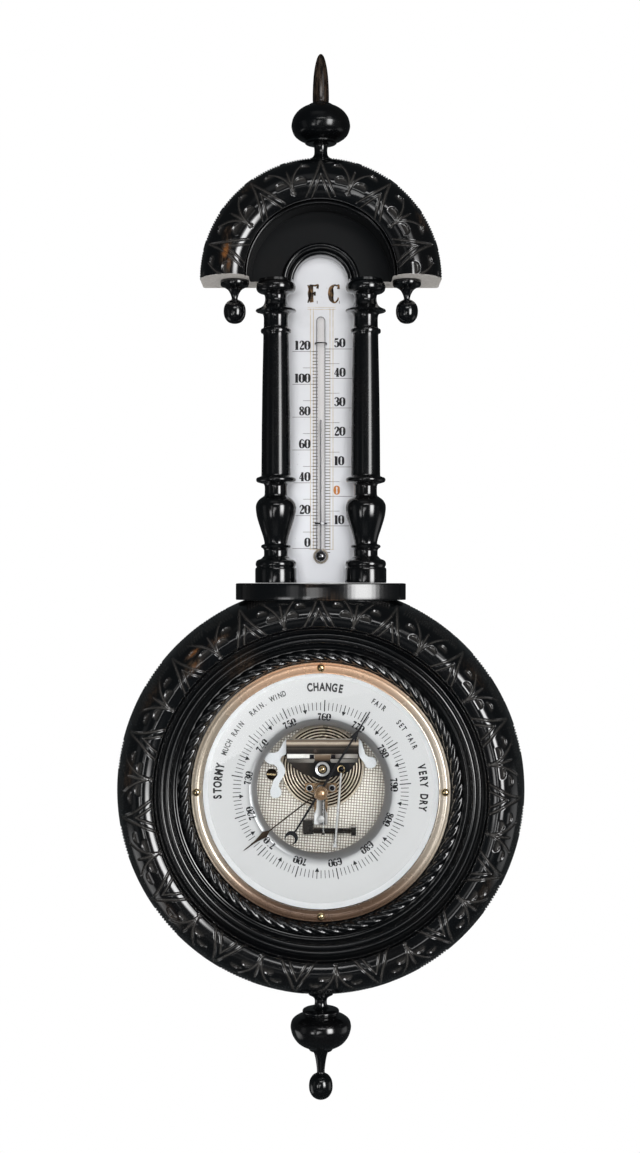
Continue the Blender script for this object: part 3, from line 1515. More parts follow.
@dataclass
class HoodWork:
    """The carved half-round hood, the arch moulding inside it and the boards behind."""

    centre_height: float = 312.3
    recess_depth: float = 20.4
    section: Points = (
        (24.3, 0, 1), (24.3, 20.4, 1), (33.8, 20.4), (43.3, 20.4, 1), (43.6, 25), (43.7, 31), (43.7, 38, 1),
        (44.15, 40.3), (44.6, 41.6), (45.1, 41.8), (45.6, 41.3), (45.85, 40, 1), (46.05, 42.8),
        (46.7, 44.3), (48.3, 45.7), (50.3, 46.9), (52.6, 47.8), (55, 48.2), (58, 47.8), (62, 46.1),
        (67, 42.4), (71, 38.2), (73.95, 32, 1), (73.95, 12, 1), (73.95, 2, 1), (73, 0, 1),
    )
    arch: Points = (
        (16.8, 11.1, 1), (16.8, 19, 1), (17.1, 20.2), (18.2, 21.1), (19.3, 20.8), (19.8, 19.8, 1),
        (20.4, 21.2), (21.6, 23.1), (22.6, 23.5), (23.5, 22.6), (24, 20.4, 1), (24, 11.1, 1),
        (16.8, 11.1, 1),
    )
    columns: int = 900
    quick_columns: int = 320
    raw_height: float = 0.05
    matt_margin: float = 0.2
    matt_rise: float = 8.0
    patches: tuple[Patch, ...] = (
        Patch(-76.5, 59.0, 2.6, 1.0, 2.6), Patch(-84.0, 56.0, 2.4, 0.7, 2.4),
        Patch(-66.0, 62.0, 2.2, 0.6, 2.0), Patch(62.0, 70.0, 3.0, 0.4, 2.4),
        Patch(-40.0, 70.0, 3.0, 0.3, 2.4),
    )

    def carving(self) -> Carving:
        """The carving of the hood: arches 37 degrees apart with fleurs between them."""
        return Carving(
            pitch=37.0,
            strokes=(
                Stroke(((0, 116.5), (1.4, 107), (3.4, 98), (6.4, 88.5), (10.6, 79.5)), 0.95, 0.95),
                Stroke(((0.0, 100), (1.8, 92.5), (4.0, 85), (7.0, 77)), 0.8, 0.8),
                Stroke(((18.5, 85.5), (17.8, 92.5), (16.2, 100), (13.2, 107.5), (9.6, 113.5)), 0.95, 0.85),
                Stroke(((18.5, 83.5), (18.5, 95), (18.5, 108.5)), 1.0, 0.8),
            ),
            thumbnails=(
                Thumbnail(18.5, 84.0, 1.45, 1.0),
                Thumbnail(12.8, 93.0, 3.9, 1.1),
                Thumbnail(8.6, 108.5, 3.2, 1.0),
                Thumbnail(15.2, 117.0, 2.4, 0.8),
            ),
            notch_angles=tuple(2.6 + 1.25 * i for i in range(12)),
            notch_radii=(119.0, 131.0),
            seed=11,
        )

    def build_hood(self) -> None:
        """Builds the carved hood with its flat underside."""
        columns = self.columns
        section = curve_through(self.section, 0.36)
        angles = np.linspace(-90, 90, columns)
        half = carved_ring(
            "hood_carved", section, angles, self.carving(), self.patches, False, self.centre_height
        )
        points = np.array([list(v.co / MM) for v in half.data.vertices])
        shares = {name: np.empty(len(points), np.float32) for name in ("wear", "cut")}
        for name, share in shares.items():
            half.data.attributes[name].data.foreach_get("value", share)
        starts = [row * columns for row in range(len(section))]
        back = starts[-1]
        faces = [list(f.vertices) for f in half.data.polygons]
        faces += [starts[::-1], [start + columns - 1 for start in starts]]
        faces += [[c + 1, c, back + c, back + c + 1] for c in range(columns - 1)]
        bpy.data.objects.remove(half)
        hood = mesh_object("hood_carved", points, faces)
        for name, share in shares.items():
            set_share(hood, name, share)
        under, front = self.centre_height + self.raw_height, self.recess_depth + self.matt_margin
        share_by(hood, "raw", lambda p: (under - p[:, 2]) / self.raw_height)
        share_by(hood, "matt", lambda p: self.matt_rise * (front + p[:, 1]))
        dress(hood, Finishes.wood, nodes=["hood"], sharp=60)

    def build_arch(self) -> None:
        """Builds the arch moulding over the thermometer."""
        section = curve_through(self.arch, 0.3)[:-1]
        turn = np.radians(np.linspace(-90, 90, 160))
        radius, depth = section[:, :1], np.repeat(section[:, 1:], len(turn), axis=1)
        points = np.stack([radius * np.sin(turn), -depth, self.centre_height + radius * np.cos(turn)], axis=2)
        starts = [row * len(turn) for row in range(len(section))]
        faces = grid_faces(len(section), len(turn), True, False).tolist()
        faces += [starts, [start + len(turn) - 1 for start in starts][::-1]]
        arch = mesh_object("arch_ridges", points.reshape(-1, 3), faces, weld=True)
        dress(arch, Finishes.wood, nodes=["hood_arch_moulding"])

    def build(self) -> None:
        """Builds the hood and dresses the boards and the hanger."""
        self.build_hood()
        self.build_arch()
        dress_node("upper_backboard", Finishes.board, 0.4)
        dress_node("hanger_plate", Finishes.old_brass, 0.15)
        for node in ("hanger_screw_left", "hanger_screw_right"):
            dress_node(node, Finishes.steel, 0.12)


@dataclass
class Thermometer:
    """The milk glass plate with its two scales, the glass tube, the mercury and the clips."""

    plate_front: float = 10.8
    print_lift: float = 0.03
    tube_depth: float = 15.6
    tube_radius: float = 2.85
    bulb_radius: float = 4.5
    bulb_height: float = 143.1
    tube_top: float = 291.8
    mercury_top: float = 227.9
    pool_radius: float = 3.3
    thread_radius: float = 0.5
    seat: Points = (
        (3.5, 10.85), (4.75, 10.85), (4.75, 11.6), (4.3, 12.1), (3.8, 12), (3.5, 11.5), (3.5, 10.85),
    )
    clip_heights: Point = (163.3, 275.1)
    clip_bend: float = 3.5
    numeral_height: float = 5.7
    letter_height: float = 11.6
    # Rows and columns of the photograph at which the scale's lines and letters stand
    horizon: float = 576.5
    eye_height: float = 130.4
    middle_column: float = 320.8
    ladder_rows: Point = (308.5, 549.5)
    ladder_columns: tuple[float, ...] = (310.4, 313.4, 330.0, 333.0)
    end_lines: Points = ((307.4, 14.0), (309.4, 14.0), (549.5, 12.0))
    end_column: float = 321.5
    fahrenheit_zero: float = 548.5
    fahrenheit_step: float = (548.5 - 351.5) / 120.0
    celsius_zero: float = 496.4
    celsius_step: float = (496.4 - 349.0) / 50.0
    fahrenheit_rung: Point = (312.6, 317.6)
    celsius_rung: Point = (325.0, 330.2)
    fahrenheit_line: Point = (292.4, 312.6)
    fahrenheit_dash: Point = (303.0, 313.0)
    celsius_line: Point = (330.0, 352.4)
    celsius_dash: Point = (330.0, 339.5)
    fahrenheit_end: float = 310.0
    celsius_start: float = 334.2
    numeral_drop: float = 1.7
    letters: tuple[tuple[str, float], ...] = (("F", 307.6), ("C", 329.0))
    letter_row: float = 303.2

    def height(self, row: float) -> float:
        """The height on the plate of a row of the photograph."""
        return self.eye_height + (self.horizon - row) * (VIEW_DISTANCE - self.plate_front) / VIEW_SCALE

    def across(self, column: float) -> float:
        """The place across the plate of a column of the photograph."""
        return (column - self.middle_column) * (VIEW_DISTANCE - self.plate_front) / VIEW_SCALE

    def fahrenheit_row(self, degree: float) -> float:
        """The photograph's row of a degree Fahrenheit."""
        return self.fahrenheit_zero - degree * self.fahrenheit_step

    def celsius_row(self, degree: float) -> float:
        """The photograph's row of a degree Celsius."""
        return self.celsius_zero - degree * self.celsius_step

    def level_line(self, marks: Print, row: float, columns: Point, width: float) -> None:
        """Prints a level line at a row, between two columns."""
        start, end = ((self.across(column), self.height(row)) for column in columns)
        marks.bar(start, end, width)

    def build_print(self) -> None:
        """Builds the ladder, the lines, the numbers and the two letters."""

        def depth(x: Array, z: Array) -> Array:
            """Just in front of the plate."""
            return np.full(x.shape, self.plate_front + self.print_lift)

        def nearer(x: Array, z: Array) -> Array:
            """In front of the first print."""
            return np.full(x.shape, self.plate_front + 2 * self.print_lift)

        tan, black = Print("ladder_lines", depth), Print("scale_numbers", nearer)
        brown, orange = Print("scale_letters", nearer), Print("zero_mark", nearer)
        grey, rungs = Print("scale_lines", depth), Print("degree_rungs", nearer)
        top, foot = (self.height(row) for row in self.ladder_rows)
        for column in self.ladder_columns:
            tan.bar((self.across(column), top), (self.across(column), foot), 0.42)
        for row, half in self.end_lines:
            self.level_line(tan, row, (self.end_column - half, self.end_column + half), 0.3)
        for degree in range(0, 121, 2):
            self.level_line(rungs, self.fahrenheit_row(degree), self.fahrenheit_rung, 0.5)
        for degree in range(-19, 51):
            self.level_line(rungs, self.celsius_row(degree), self.celsius_rung, 0.42)
        for number in range(0, 121, 20):
            row = self.fahrenheit_row(number)
            self.level_line(grey, row, self.fahrenheit_line, 0.34)
            left = self.across(self.fahrenheit_end) - Numerals.width(str(number), self.numeral_height)
            height = self.height(row - self.numeral_drop)
            black.add(*Numerals.ribbons(str(number), left, height, self.numeral_height))
        for number in range(10, 120, 20):
            self.level_line(grey, self.fahrenheit_row(number), self.fahrenheit_dash, 0.3)
        for number in range(-10, 51, 10):
            row = self.celsius_row(number)
            self.level_line(grey, row, self.celsius_line, 0.34)
            left, height = self.across(self.celsius_start), self.height(row - self.numeral_drop)
            target = orange if number == 0 else black
            target.add(*Numerals.ribbons(str(abs(number)), left, height, self.numeral_height))
            if number < 50:
                self.level_line(grey, self.celsius_row(number + 5), self.celsius_dash, 0.3)
        foot = self.height(self.letter_row)
        for letter, column in self.letters:
            brown.add(*Numerals.ribbons(letter, self.across(column), foot, self.letter_height))
        for marks, finish in (
            (tan, Finishes.tan_ink), (grey, Finishes.grey_ink), (rungs, Finishes.rung_ink),
            (black, Finishes.ink), (brown, Finishes.brown_ink), (orange, Finishes.orange_ink),
        ):
            dress(marks.piece(), finish)

    def build_plate(self) -> None:
        """Builds the plate with rounded edges."""
        outline = [(-21.5, 126.5), (21.5, 126.5), *arc(0, 312.3, 21.5, 0, 180, 48)]
        plate = flat_piece("scale_plate", [outline], 8.3, self.plate_front, 0.3)
        dress(plate, Finishes.milk, nodes=["thermometer_plate"])

    def build_tube(self) -> None:
        """Builds the glass tube, the mercury, the bulb's seat and the wire clips."""
        radius, middle, axis = self.tube_radius, self.bulb_height, (0.0, self.tube_depth)
        neck = math.pi - math.asin(radius / self.bulb_radius)
        bulb = bead(self.bulb_radius, middle, self.bulb_radius, 16, 0.0, neck)
        turn, end = np.linspace(0, math.pi / 2, 10), self.tube_top
        dome = [(radius * math.cos(t), end - radius * (1 - math.sin(t))) for t in turn]
        profile = [(0.0, bulb[0][1]), *bulb[1:], (radius, middle + 5.0), *dome[:-1], (0.0, dome[-1][1])]
        glass = turned("tube_glass_body", profile, 48, axis, Facing.UP)
        dress(glass, Finishes.tube, nodes=["thermometer_tube"])
        thread, top = self.thread_radius, self.mercury_top
        pool = bead(self.pool_radius, middle, self.pool_radius, 16, 0.0, 2.9)
        profile = [(0.0, pool[0][1]), *pool[1:], (thread, middle + 4.4), (thread, top - 0.4), (0.0, top)]
        metal = turned("mercury_thread", profile, 32, axis, Facing.UP)
        dress(metal, Finishes.mercury, nodes=["mercury"])
        dress(turned("bulb_seat", self.seat, 48, (0.0, middle)), Finishes.seat)
        low = self.clip_heights[0]
        dress(turned("clip_bead", bead(1.15, 20.2, 1.0, 16), 24, (1.0, low)), Finishes.frosted)
        reach, foot, knee = self.clip_bend, -11.0, -13.2
        for name, height in zip(("lower", "upper"), self.clip_heights):
            turn = np.linspace(0, math.pi, 20)
            bend = [(reach * math.cos(t), -self.tube_depth - reach * math.sin(t), height) for t in turn]
            ends = [[(side, foot, height), (side, knee, height)] for side in (reach, -reach)]
            path = [*ends[0], *bend, *ends[1][::-1]]
            wire = tube_piece(f"{name}_wire", path, [0.4] * len(path), 10)
            dress(wire, Finishes.blued, nodes=[f"{name}_tube_clip"])

    def build(self) -> None:
        """Builds the thermometer."""
        self.build_plate()
        self.build_print()
        self.build_tube()


@dataclass
class DialWork:
    """Bezel, glass, silvered dial with its printed scale, and the case of the movement."""

    front: float = 33.3
    unit: float = 0.6098
    first: int = 680
    upright: int = 80
    degrees_per_unit: float = 2.769
    zero_angle: float = 2.6
    bezel: Points = (
        (74.6, 32.6, 1), (78.5, 32.6, 1), (78.5, 41.2, 1), (78.35, 41.7), (77.9, 41.9), (77.5, 41.6, 1),
        (77.3, 41.9), (76.4, 42.6), (75.2, 42.8), (73.9, 42.4), (72.7, 41.6), (72.2, 41.2, 1), (71.9, 41.3),
        (71.65, 40.9, 1), (71.65, 40.35, 1), (74.6, 40.35, 1), (74.6, 32.6, 1),
    )
    dial: Points = (
        (71.2, 32.5, 1), (71.2, 33.3, 1), (46.2, 33.3), (44, 33), (41.9, 31.9), (40.3, 30.1), (39.3, 28.3),
        (39.1, 27.6, 1), (39.8, 27.5, 1), (40, 28.3), (40.9, 29.7), (42.3, 31.2), (44.4, 32.2),
        (46.4, 32.5), (71.2, 32.5, 1),
    )
    slip: Points = (
        (68.9, 33.32, 1), (69.3, 33.9, 1), (71.5, 37.7, 1), (71.6, 37.7, 1), (71.6, 33.35, 1),
        (68.9, 33.32, 1),
    )
    pane: Points = ((1.65, 38.0), (74.1, 38.0), (74.1, 40.0), (1.65, 40.0), (1.65, 38.0))
    screw_ring: float = 75.1
    screw_head: Points = (
        (0, 44.25), (0.9, 44.16), (1.7, 43.8), (2.2, 43.25), (2.4, 42.7), (2.4, 42.2), (0.9, 42.2),
        (0.9, 36.4), (0, 36.4),
    )
    print_lift: float = 0.04
    # Radii in the dial's own unit: the ends of each tick and then its width, the wedges, numbers and words
    ten_tick: tuple[float, float, float] = (79.0, 90.5, 0.62)
    five_tick: tuple[float, float, float] = (80.5, 88.5, 0.5)
    one_tick: tuple[float, float, float] = (80.0, 88.0, 0.4)
    wedge: Point = (77.4, 81.6)
    number_radius: float = 73.6
    word_radius: float = 103.5
    words: tuple[tuple[str, float, float], ...] = (
        ("STORMY", 275.0, 5.0), ("MUCH RAIN", 300.5, 3.4), ("RAIN, WIND", 328.5, 3.4), ("CHANGE", 2.5, 5.0),
        ("FAIR", 34.0, 3.4), ("SET FAIR", 57.0, 3.4), ("VERY DRY", 88.5, 4.8),
    )

    def depth(self, x: Array, z: Array) -> Array:
        """The depth of the print, just in front of the dial and its curved lip."""
        table = curve_through(self.dial[1:8], 0.3)[::-1]
        return np.interp(np.hypot(x, z), table[:, 0], table[:, 1]) + self.print_lift

    def angle(self, unit: int) -> float:
        """The angle from the top, in degrees, of a unit of the scale."""
        return self.zero_angle + (unit - self.upright) * self.degrees_per_unit

    def build_scale(self) -> None:
        """Builds the ticks and the numbers."""
        marks = Print("dial_marks", self.depth)
        for unit in range(130):
            angle = math.radians(self.angle(unit))
            way = np.array([math.sin(angle), math.cos(angle)])
            five, ten = unit % 5 == 0, unit % 10 == 0
            low, high, width = self.ten_tick if ten else self.five_tick if five else self.one_tick
            marks.bar(tuple(way * low * self.unit), tuple(way * high * self.unit), width)
            if five and not ten:
                marks.bar(*(tuple(way * radius * self.unit) for radius in self.wedge), 0.05, 2.7)
        for unit in range(0, 121, 10):
            marks.text_round(str(self.first + unit), self.number_radius * self.unit, self.angle(unit), 4.5)
        dress(marks.piece(), Finishes.ink)

    def build_words(self) -> None:
        """Builds the weather words round the rim, in plain capitals."""
        pieces = []
        rim = self.word_radius * self.unit
        for word, middle, size in self.words:
            step = size * 0.76 / rim
            for i, letter in enumerate(word):
                if letter == " ":
                    continue
                text = bpy.data.curves.new(f"letter_{letter}", "FONT")
                text.body, text.size, text.align_x = letter, size * 1.36 * MM, "CENTER"
                text.offset, text.fill_mode = (0.06 if size > 4.5 else 0.042) * size * MM, "FRONT"
                turn = math.radians(middle) + (i - (len(word) - 1) / 2) * step
                foot = Matrix.Translation((0, -(self.front + self.print_lift) * MM, (rim - size * 0.46) * MM))
                upright = Matrix.Rotation(math.pi / 2, 4, "X") @ Matrix.Diagonal((0.7, 1, 1, 1))
                place = Matrix.Rotation(turn, 4, "Y") @ foot @ upright
                pieces.append(solid_curve(f"letter_{letter}_{len(pieces)}", text, place))
        dress(join_pieces("weather_words", pieces), Finishes.ink)

    def build_bezel(self) -> None:
        """Builds the bezel and its four round-headed screws."""
        ring = turned("bezel_ring", curve_through(self.bezel, 0.35), 288)
        dress(ring, Finishes.bezel, nodes=["bezel"])
        for i, side in enumerate(("top", "right", "bottom", "left")):
            angle = math.radians(90 * i)
            x, z = self.screw_ring * math.sin(angle), self.screw_ring * math.cos(angle)
            head = turned(f"screw_dome_{side}", self.screw_head, 32, (x, z))
            dress(head, Finishes.gold, nodes=[f"bezel_screw_{side}"])
            slot = flat_piece(f"screw_slot_{side}", [oblong(-1.9, 1.9, -0.25, 0.25)], 43.3, 44.27)
            turn_clockwise(slot, 25 + 70 * i)
            slot.data.transform(Matrix.Translation((x * MM, 0, z * MM)))
            dress(slot, Finishes.blued)

    def build(self) -> None:
        """Builds the dial side."""
        plate = turned("dial_plate", curve_through(self.dial, 0.4), 256)
        dress(plate, Finishes.dial, nodes=["dial"])
        dress(turned("dial_slip_ring", curve_through(self.slip), 256), Finishes.slip)
        self.build_scale()
        self.build_words()
        self.build_bezel()
        dress(turned("dial_glass", self.pane, 128), Finishes.glass, nodes=["glass"])
        dress_node("movement_case", Finishes.old_brass, 0.1)


@dataclass
class Hands:
    """The pointer with its barb and crescent, the set hand and its knob."""

    pointer_angle: float = 32.0
    set_angle: float = 232.3
    needle: Points = (
        (-0.5, -30.5), (0.5, -30.5), (0.75, -4), (0.75, 4), (0.6, 37.4), (2.6, 35.6), (0.5, 43),
        (0.3, 56.6), (-0.3, 56.6), (-0.5, 43), (-2.6, 35.6), (-0.6, 37.4), (-0.75, 4), (-0.75, -4),
    )
    hub: Points = ((1.0, 34.0), (2.2, 34.0), (2.2, 34.5), (1.9, 34.62), (1.0, 34.62), (1.0, 34.0))
    spindle: Points = (
        (0, 19.3), (0.7, 19.3), (0.7, 25.8), (1, 25.8), (1, 28.6), (0.7, 28.6), (0.7, 34.7), (0.45, 34.9),
        (0, 34.9),
    )
    leaf: Points = (
        (0.45, 0), (0.4, 36), (0.55, 40), (1.3, 41.6), (2.1, 43), (1.5, 45.6), (0.85, 48.8), (0.42, 53),
        (0.2, 59.3),
    )
    stem: Points = ((0, 36.0), (2.5, 36.0), (2.6, 36.3), (2.4, 37.6), (1.2, 37.7), (1.2, 42.5), (0, 42.5))
    knob_neck: Points = (
        (1.5, 40.35), (2.9, 40.35), (3, 40.6), (2.9, 40.9), (2.3, 41.2), (2.05, 41.9), (2.3, 42.4),
    )
    knob_radius: float = 4.32
    knob_middle: float = 46.6

    def build_pointer(self) -> None:
        """Builds the pointer and its arbor."""
        crescent = [*arc(0, -34.0, 4.1, -64.4, 244.4, 40), *arc(0, -35.4, 2.9, 232.4, -52.4, 36)]
        blade = flat_piece("needle", [self.needle], 34.0, 34.6, 0.12)
        tail = flat_piece("needle_tail", [crescent], 34.05, 34.55)
        hub = turned("needle_hub", self.hub, 40)
        pointer = turn_clockwise(join_pieces("pointer_steel", [blade, tail, hub]), self.pointer_angle)
        dress(pointer, Finishes.pointer, "pointer_body", ["pointer"])
        spindle = turned("pointer_spindle", self.spindle, 28)
        dress(spindle, Finishes.steel, "pointer_body", ["pointer_arbor"])

    def build_set_hand(self) -> None:
        """Builds the set hand, its stem and its knob."""
        half = curve_through(self.leaf, 1.2)
        outline = [*map(tuple, half), *[(-x, z) for x, z in half[::-1]]]
        hand = flat_piece("set_leaf", [outline], 36.0, 36.6, 0.1)
        stem = turned("set_stem", self.stem, 36)
        piece = turn_clockwise(join_pieces("set_hand_brass", [hand, stem]), self.set_angle)
        dress(piece, Finishes.bronzed, "set_hand_body", ["set_hand"])
        ball = bead(self.knob_radius, self.knob_middle, self.knob_radius, 26, 0.52)
        profile = [*self.knob_neck, *ball[:-1], (0.0, self.knob_middle + self.knob_radius)]
        knob = turned("set_knob_ball", profile, 56)
        dress(knob, Finishes.knob, "set_hand_body", ["set_knob"])

    def build(self) -> None:
        """Builds the hands."""
        self.build_pointer()
        self.build_set_hand()


@dataclass
class Movement:
    """The works behind the dial's hole."""

    capsule: Point = (1.0, 12.4)
    capsule_rings: float = 10.5
    rings_from: float = 24.9
    rings_reach: float = 19.0
    knurl_pitch: float = 1.72
    knurl_turn: float = -4.0
    knurl_reach: float = 45.0
    knurl_flat: float = 0.27
    knurl_crown: float = 8.9
    knurl_valley: float = 8.45
    base: Points = ((0, 8.2), (44, 8.2), (44, 8.9), (67.6, 8.9), (67.6, 7.3), (0, 7.3))
    capsule_side: Points = ((0.0, 9.3), (25.2, 9.3), (26.0, 10.4), (26.0, 14.6), (25.6, 15.6), (24.9, 16.2))
    capsule_middle: Points = ((5.5, 17.1), (4.7, 17.2), (4.5, 17.9), (4.2, 18.0), (0.0, 18.0))
    shank: Points = ((0.0, 18.55), (1.2, 18.55), (1.2, 28.0), (3.5, 28.0), (3.5, 29.0), (0.0, 29.0))
    nut: Points = (
        (2.95, 28), (4.2, 28), (4.5, 28.3), (4.5, 28.9), (4.3, 29.3), (4.05, 29.2), (3.85, 28.9),
        (3.65, 29.2), (3.4, 29.5), (3.1, 29.4), (2.95, 29.1), (2.95, 28),
    )
    stud_ball: float = 2.3
    scrolls: tuple[Points, Points] = (
        (
            (-21.3, 21.6, 1), (-21.3, 30.1, 1), (-23.2, 28), (-25.5, 23.5), (-28.5, 21.6), (-32.6, 21.7),
            (-34.6, 19.6), (-34.2, 16.6), (-32, 14.9), (-28.6, 14), (-26.6, 11.4), (-27, 7.6), (-29.2, 4.6),
            (-30.3, 0.8), (-31.4, -2), (-30.4, -5.6), (-27.6, -6.4), (-24.8, -4.8), (-24.4, -1.6),
            (-26, 0.9), (-25.7, 2.9), (-23.4, 6.4), (-22, 10.2), (-23.3, 14.4), (-25, 17), (-23.8, 19.5),
            (-21.9, 20.4),
        ),
        (
            (23.3, 30.1, 1), (23.3, 21.8, 1), (24.2, 18.6), (26.6, 15.6), (28.2, 12.6), (31.2, 12),
            (33.9, 13.6), (34.2, 16.6), (32.4, 18.8), (29, 19.4), (27.2, 21.4), (26, 25.6), (24.8, 29),
        ),
    )
    bridge_depths: Point = (20.0, 21.4)
    post: Points = ((0, 9.2), (2.6, 9.2), (2.6, 20.1), (0, 20.1))
    posts: Points = ((-30.2, 18.1), (-28.2, -3.2), (31.1, 15.3))
    fold: Point = (24.0, 27.8)
    fold_radii: Point = (1.5, 2.3)
    spring_sides: Point = (-21.3, 23.3)
    tongue: Points = (
        (-19.6, 18.4), (-19.6, 17.6), (-17, 13.2), (-10.2, 8.9), (-4.2, 7.3), (-1.6, 6.4), (4.4, 6.4),
        (7.6, 7.6), (12, 8.4), (17.4, 10.8), (20.9, 15.2), (21.4, 18.4),
    )
    lip: Points = (
        (-20.7, 18.5), (-20.7, 16.2), (-4.6, 16.2), (-3.6, 17.5), (5.6, 17.5), (6.6, 16.2), (22.7, 16.2),
        (22.7, 18.5),
    )
    stud_hole: float = 1.6
    blade_back: float = 26.6
    clamp_edges: tuple[float, float, float, float] = (-20.7, 22.7, 18.9, 21.55)
    tab_edges: tuple[float, float, float, float] = (-3.8, 5.8, 17.3, 20.9)
    clamp_heads: Point = (-5.55, 7.55)
    clamp_head_half: float = 1.35
    clamp_head_heights: Point = (19.0, 21.3)
    clamp_head_depths: Point = (28.25, 29.3)
    rod_top: tuple[float, float, float] = (12.5, -28.6, 11.0)
    rod_foot: tuple[float, float, float] = (8.8, -25.45, -34.6)
    boss: Points = ((0, 24.7), (1.3, 24.7), (1.3, 26.2), (0, 26.2))
    boss_place: Point = (8.8, -35.0)
    eyelet: Points = (
        (1.5, 27.9), (2.65, 27.9), (2.7, 28.6), (2.3, 29.35), (1.8, 29.4), (1.5, 28.9), (1.5, 27.9),
    )
    eyelet_place: Point = (12.5, 12.4)
    chain_links: int = 20
    chain_foot: float = -26.2
    chain_pitch: float = 1.35
    chain_place: Point = (1.55, -27.4)
    link_size: tuple[float, float, float] = (0.26, 0.33, 0.85)
    cock_side: Points = ((4.1, -22.2), (4.1, -15.4), (3.4, -14.2), (2.7, -12.0), (2.5, -6.0))
    cock_eye: Point = (2.4, 1.0)
    cock_depths: Point = (24.2, 25.4)
    cock_foot_edges: tuple[float, float, float, float] = (-4.05, 4.05, -22.1, -15.3)
    cock_foot_depths: Point = (21.5, 24.6)
    cock_screw_height: float = -18.7
    cock_screw: Points = (
        (0, 26.42), (0.9, 26.35), (1.7, 26.1), (2.2, 25.8), (2.2, 25.7), (1.1, 25.7), (1.1, 18.8),
        (0, 18.8),
    )
    collar: Points = (
        (1.45, 21.6), (1.95, 21.6), (2.05, 23.3), (1.85, 23.8), (1.6, 23.9), (1.45, 23.6), (1.45, 21.6),
    )
    pillar_offset: float = 7.0
    coil_turns: float = 3.0
    coil_radii: Point = (1.25, 3.6)
    coil_depth: float = 22.7
    coil_wire: float = 0.12
    plate_screw: Points = (
        (0, 10.75), (1.6, 10.65), (2.9, 10.3), (3.45, 9.8), (3.45, 9.25), (1.6, 9.25), (1.6, 7.8), (0, 7.8),
    )
    plate_screw_place: Point = (-30.72, 6.94)

    def build_base(self) -> None:
        """Builds the base plate with rows of small cut pyramids."""
        pitch, crown, valley = self.knurl_pitch, self.knurl_crown, self.knurl_valley
        points, faces = [], []
        count = int(self.knurl_reach / pitch)
        tilt = math.radians(self.knurl_turn)
        for i in range(-count, count + 1):
            for j in range(-count, count + 1):
                x, z = i * pitch, j * pitch
                if math.hypot(x, z) > self.knurl_reach:
                    continue
                start = len(points)
                for across, depth in ((pitch / 2, valley), (pitch * self.knurl_flat, crown)):
                    for dx, dz in ((-1, -1), (1, -1), (1, 1), (-1, 1)):
                        px, pz = x + dx * across, z + dz * across
                        turned_x = px * math.cos(tilt) - pz * math.sin(tilt)
                        turned_z = px * math.sin(tilt) + pz * math.cos(tilt)
                        points.append((turned_x, -depth, turned_z))
                for k in range(4):
                    n = (k + 1) % 4
                    faces.append([start + k, start + n, start + 4 + n, start + 4 + k])
                faces.append([start + 4 + k for k in range(4)])
        knurl = mesh_object("knurled_field", points, faces, weld=True)
        share_by(knurl, "groove", lambda p: (crown + p[:, 1]) / (crown - valley))
        dress(knurl, Finishes.knurl, sharp=20)
        dress(turned("base_disc", self.base, 128), Finishes.nickel, nodes=["base_plate"])

    def ring_share(self, points: Array) -> Array:
        """How deep in a groove of the capsule each point lies."""
        x, z = self.capsule
        away = (self.rings_from - np.hypot(points[:, 0] - x, points[:, 2] - z)) / self.rings_reach
        inside = (away > 0) & (away < 1)
        return np.where(inside, 0.5 - 0.5 * np.cos(away * 2 * math.pi * self.capsule_rings), 0.0)

    def build_capsule(self) -> None:
        """Builds the corrugated capsule, its stud and the nut."""
        waves = []
        for t in np.linspace(0, 1, 170):
            wave = 0.5 - 0.5 * math.cos(t * 2 * math.pi * self.capsule_rings)
            waves.append((self.rings_from - t * self.rings_reach, 17.1 - 0.9 * wave - 0.5 * (1 - t) ** 8))
        profile = [*self.capsule_side, *waves, *self.capsule_middle]
        body = turned("capsule_body", profile, 144, self.capsule)
        share_by(body, "groove", self.ring_share)
        dress(body, Finishes.capsule, nodes=["capsule"], sharp=50)
        stud = turned("stud_shank", self.shank, 48, self.capsule)
        dress(stud, Finishes.blued, "stud_body", ["capsule_stud"])
        dress(turned("stud_nut", self.nut, 48, self.capsule), Finishes.steel, "stud_body")
        size, foot = self.stud_ball, 29.0
        dome = [(size * math.cos(t), foot + size * math.sin(t)) for t in np.linspace(0, math.pi / 2, 14)]
        profile = [(0.0, 28.9), (2.2, 28.9), *dome[:-1], (0.0, foot + size)]
        dress(turned("stud_ball", profile, 48, self.capsule), Finishes.gold, "stud_body")

    def build_bridge(self) -> None:
        """Builds the bridge with its scroll feet and posts."""
        feet = []
        for i, shape in enumerate(self.scrolls):
            loop = [tuple(p) for p in curve_through([*shape, shape[0]], 0.7)[:-1]]
            feet.append(flat_piece(f"scroll_{i}", [loop], *self.bridge_depths))
        bar = flat_piece("bridge_bar", [oblong(-21.4, 23.4, 21.6, 30.1)], *self.bridge_depths, 0.15)
        posts = [turned(f"post_{i}", self.post, 32, place) for i, place in enumerate(self.posts)]
        scrolls = join_pieces("scroll_feet", feet)
        soften(dress(scrolls, Finishes.frosted, nodes=["bridge_frame"]), 0.2)
        bridge = join_pieces("bridge_bar_posts", [bar, *posts])
        dress(bridge, Finishes.nickel, nodes=["bridge_frame"])

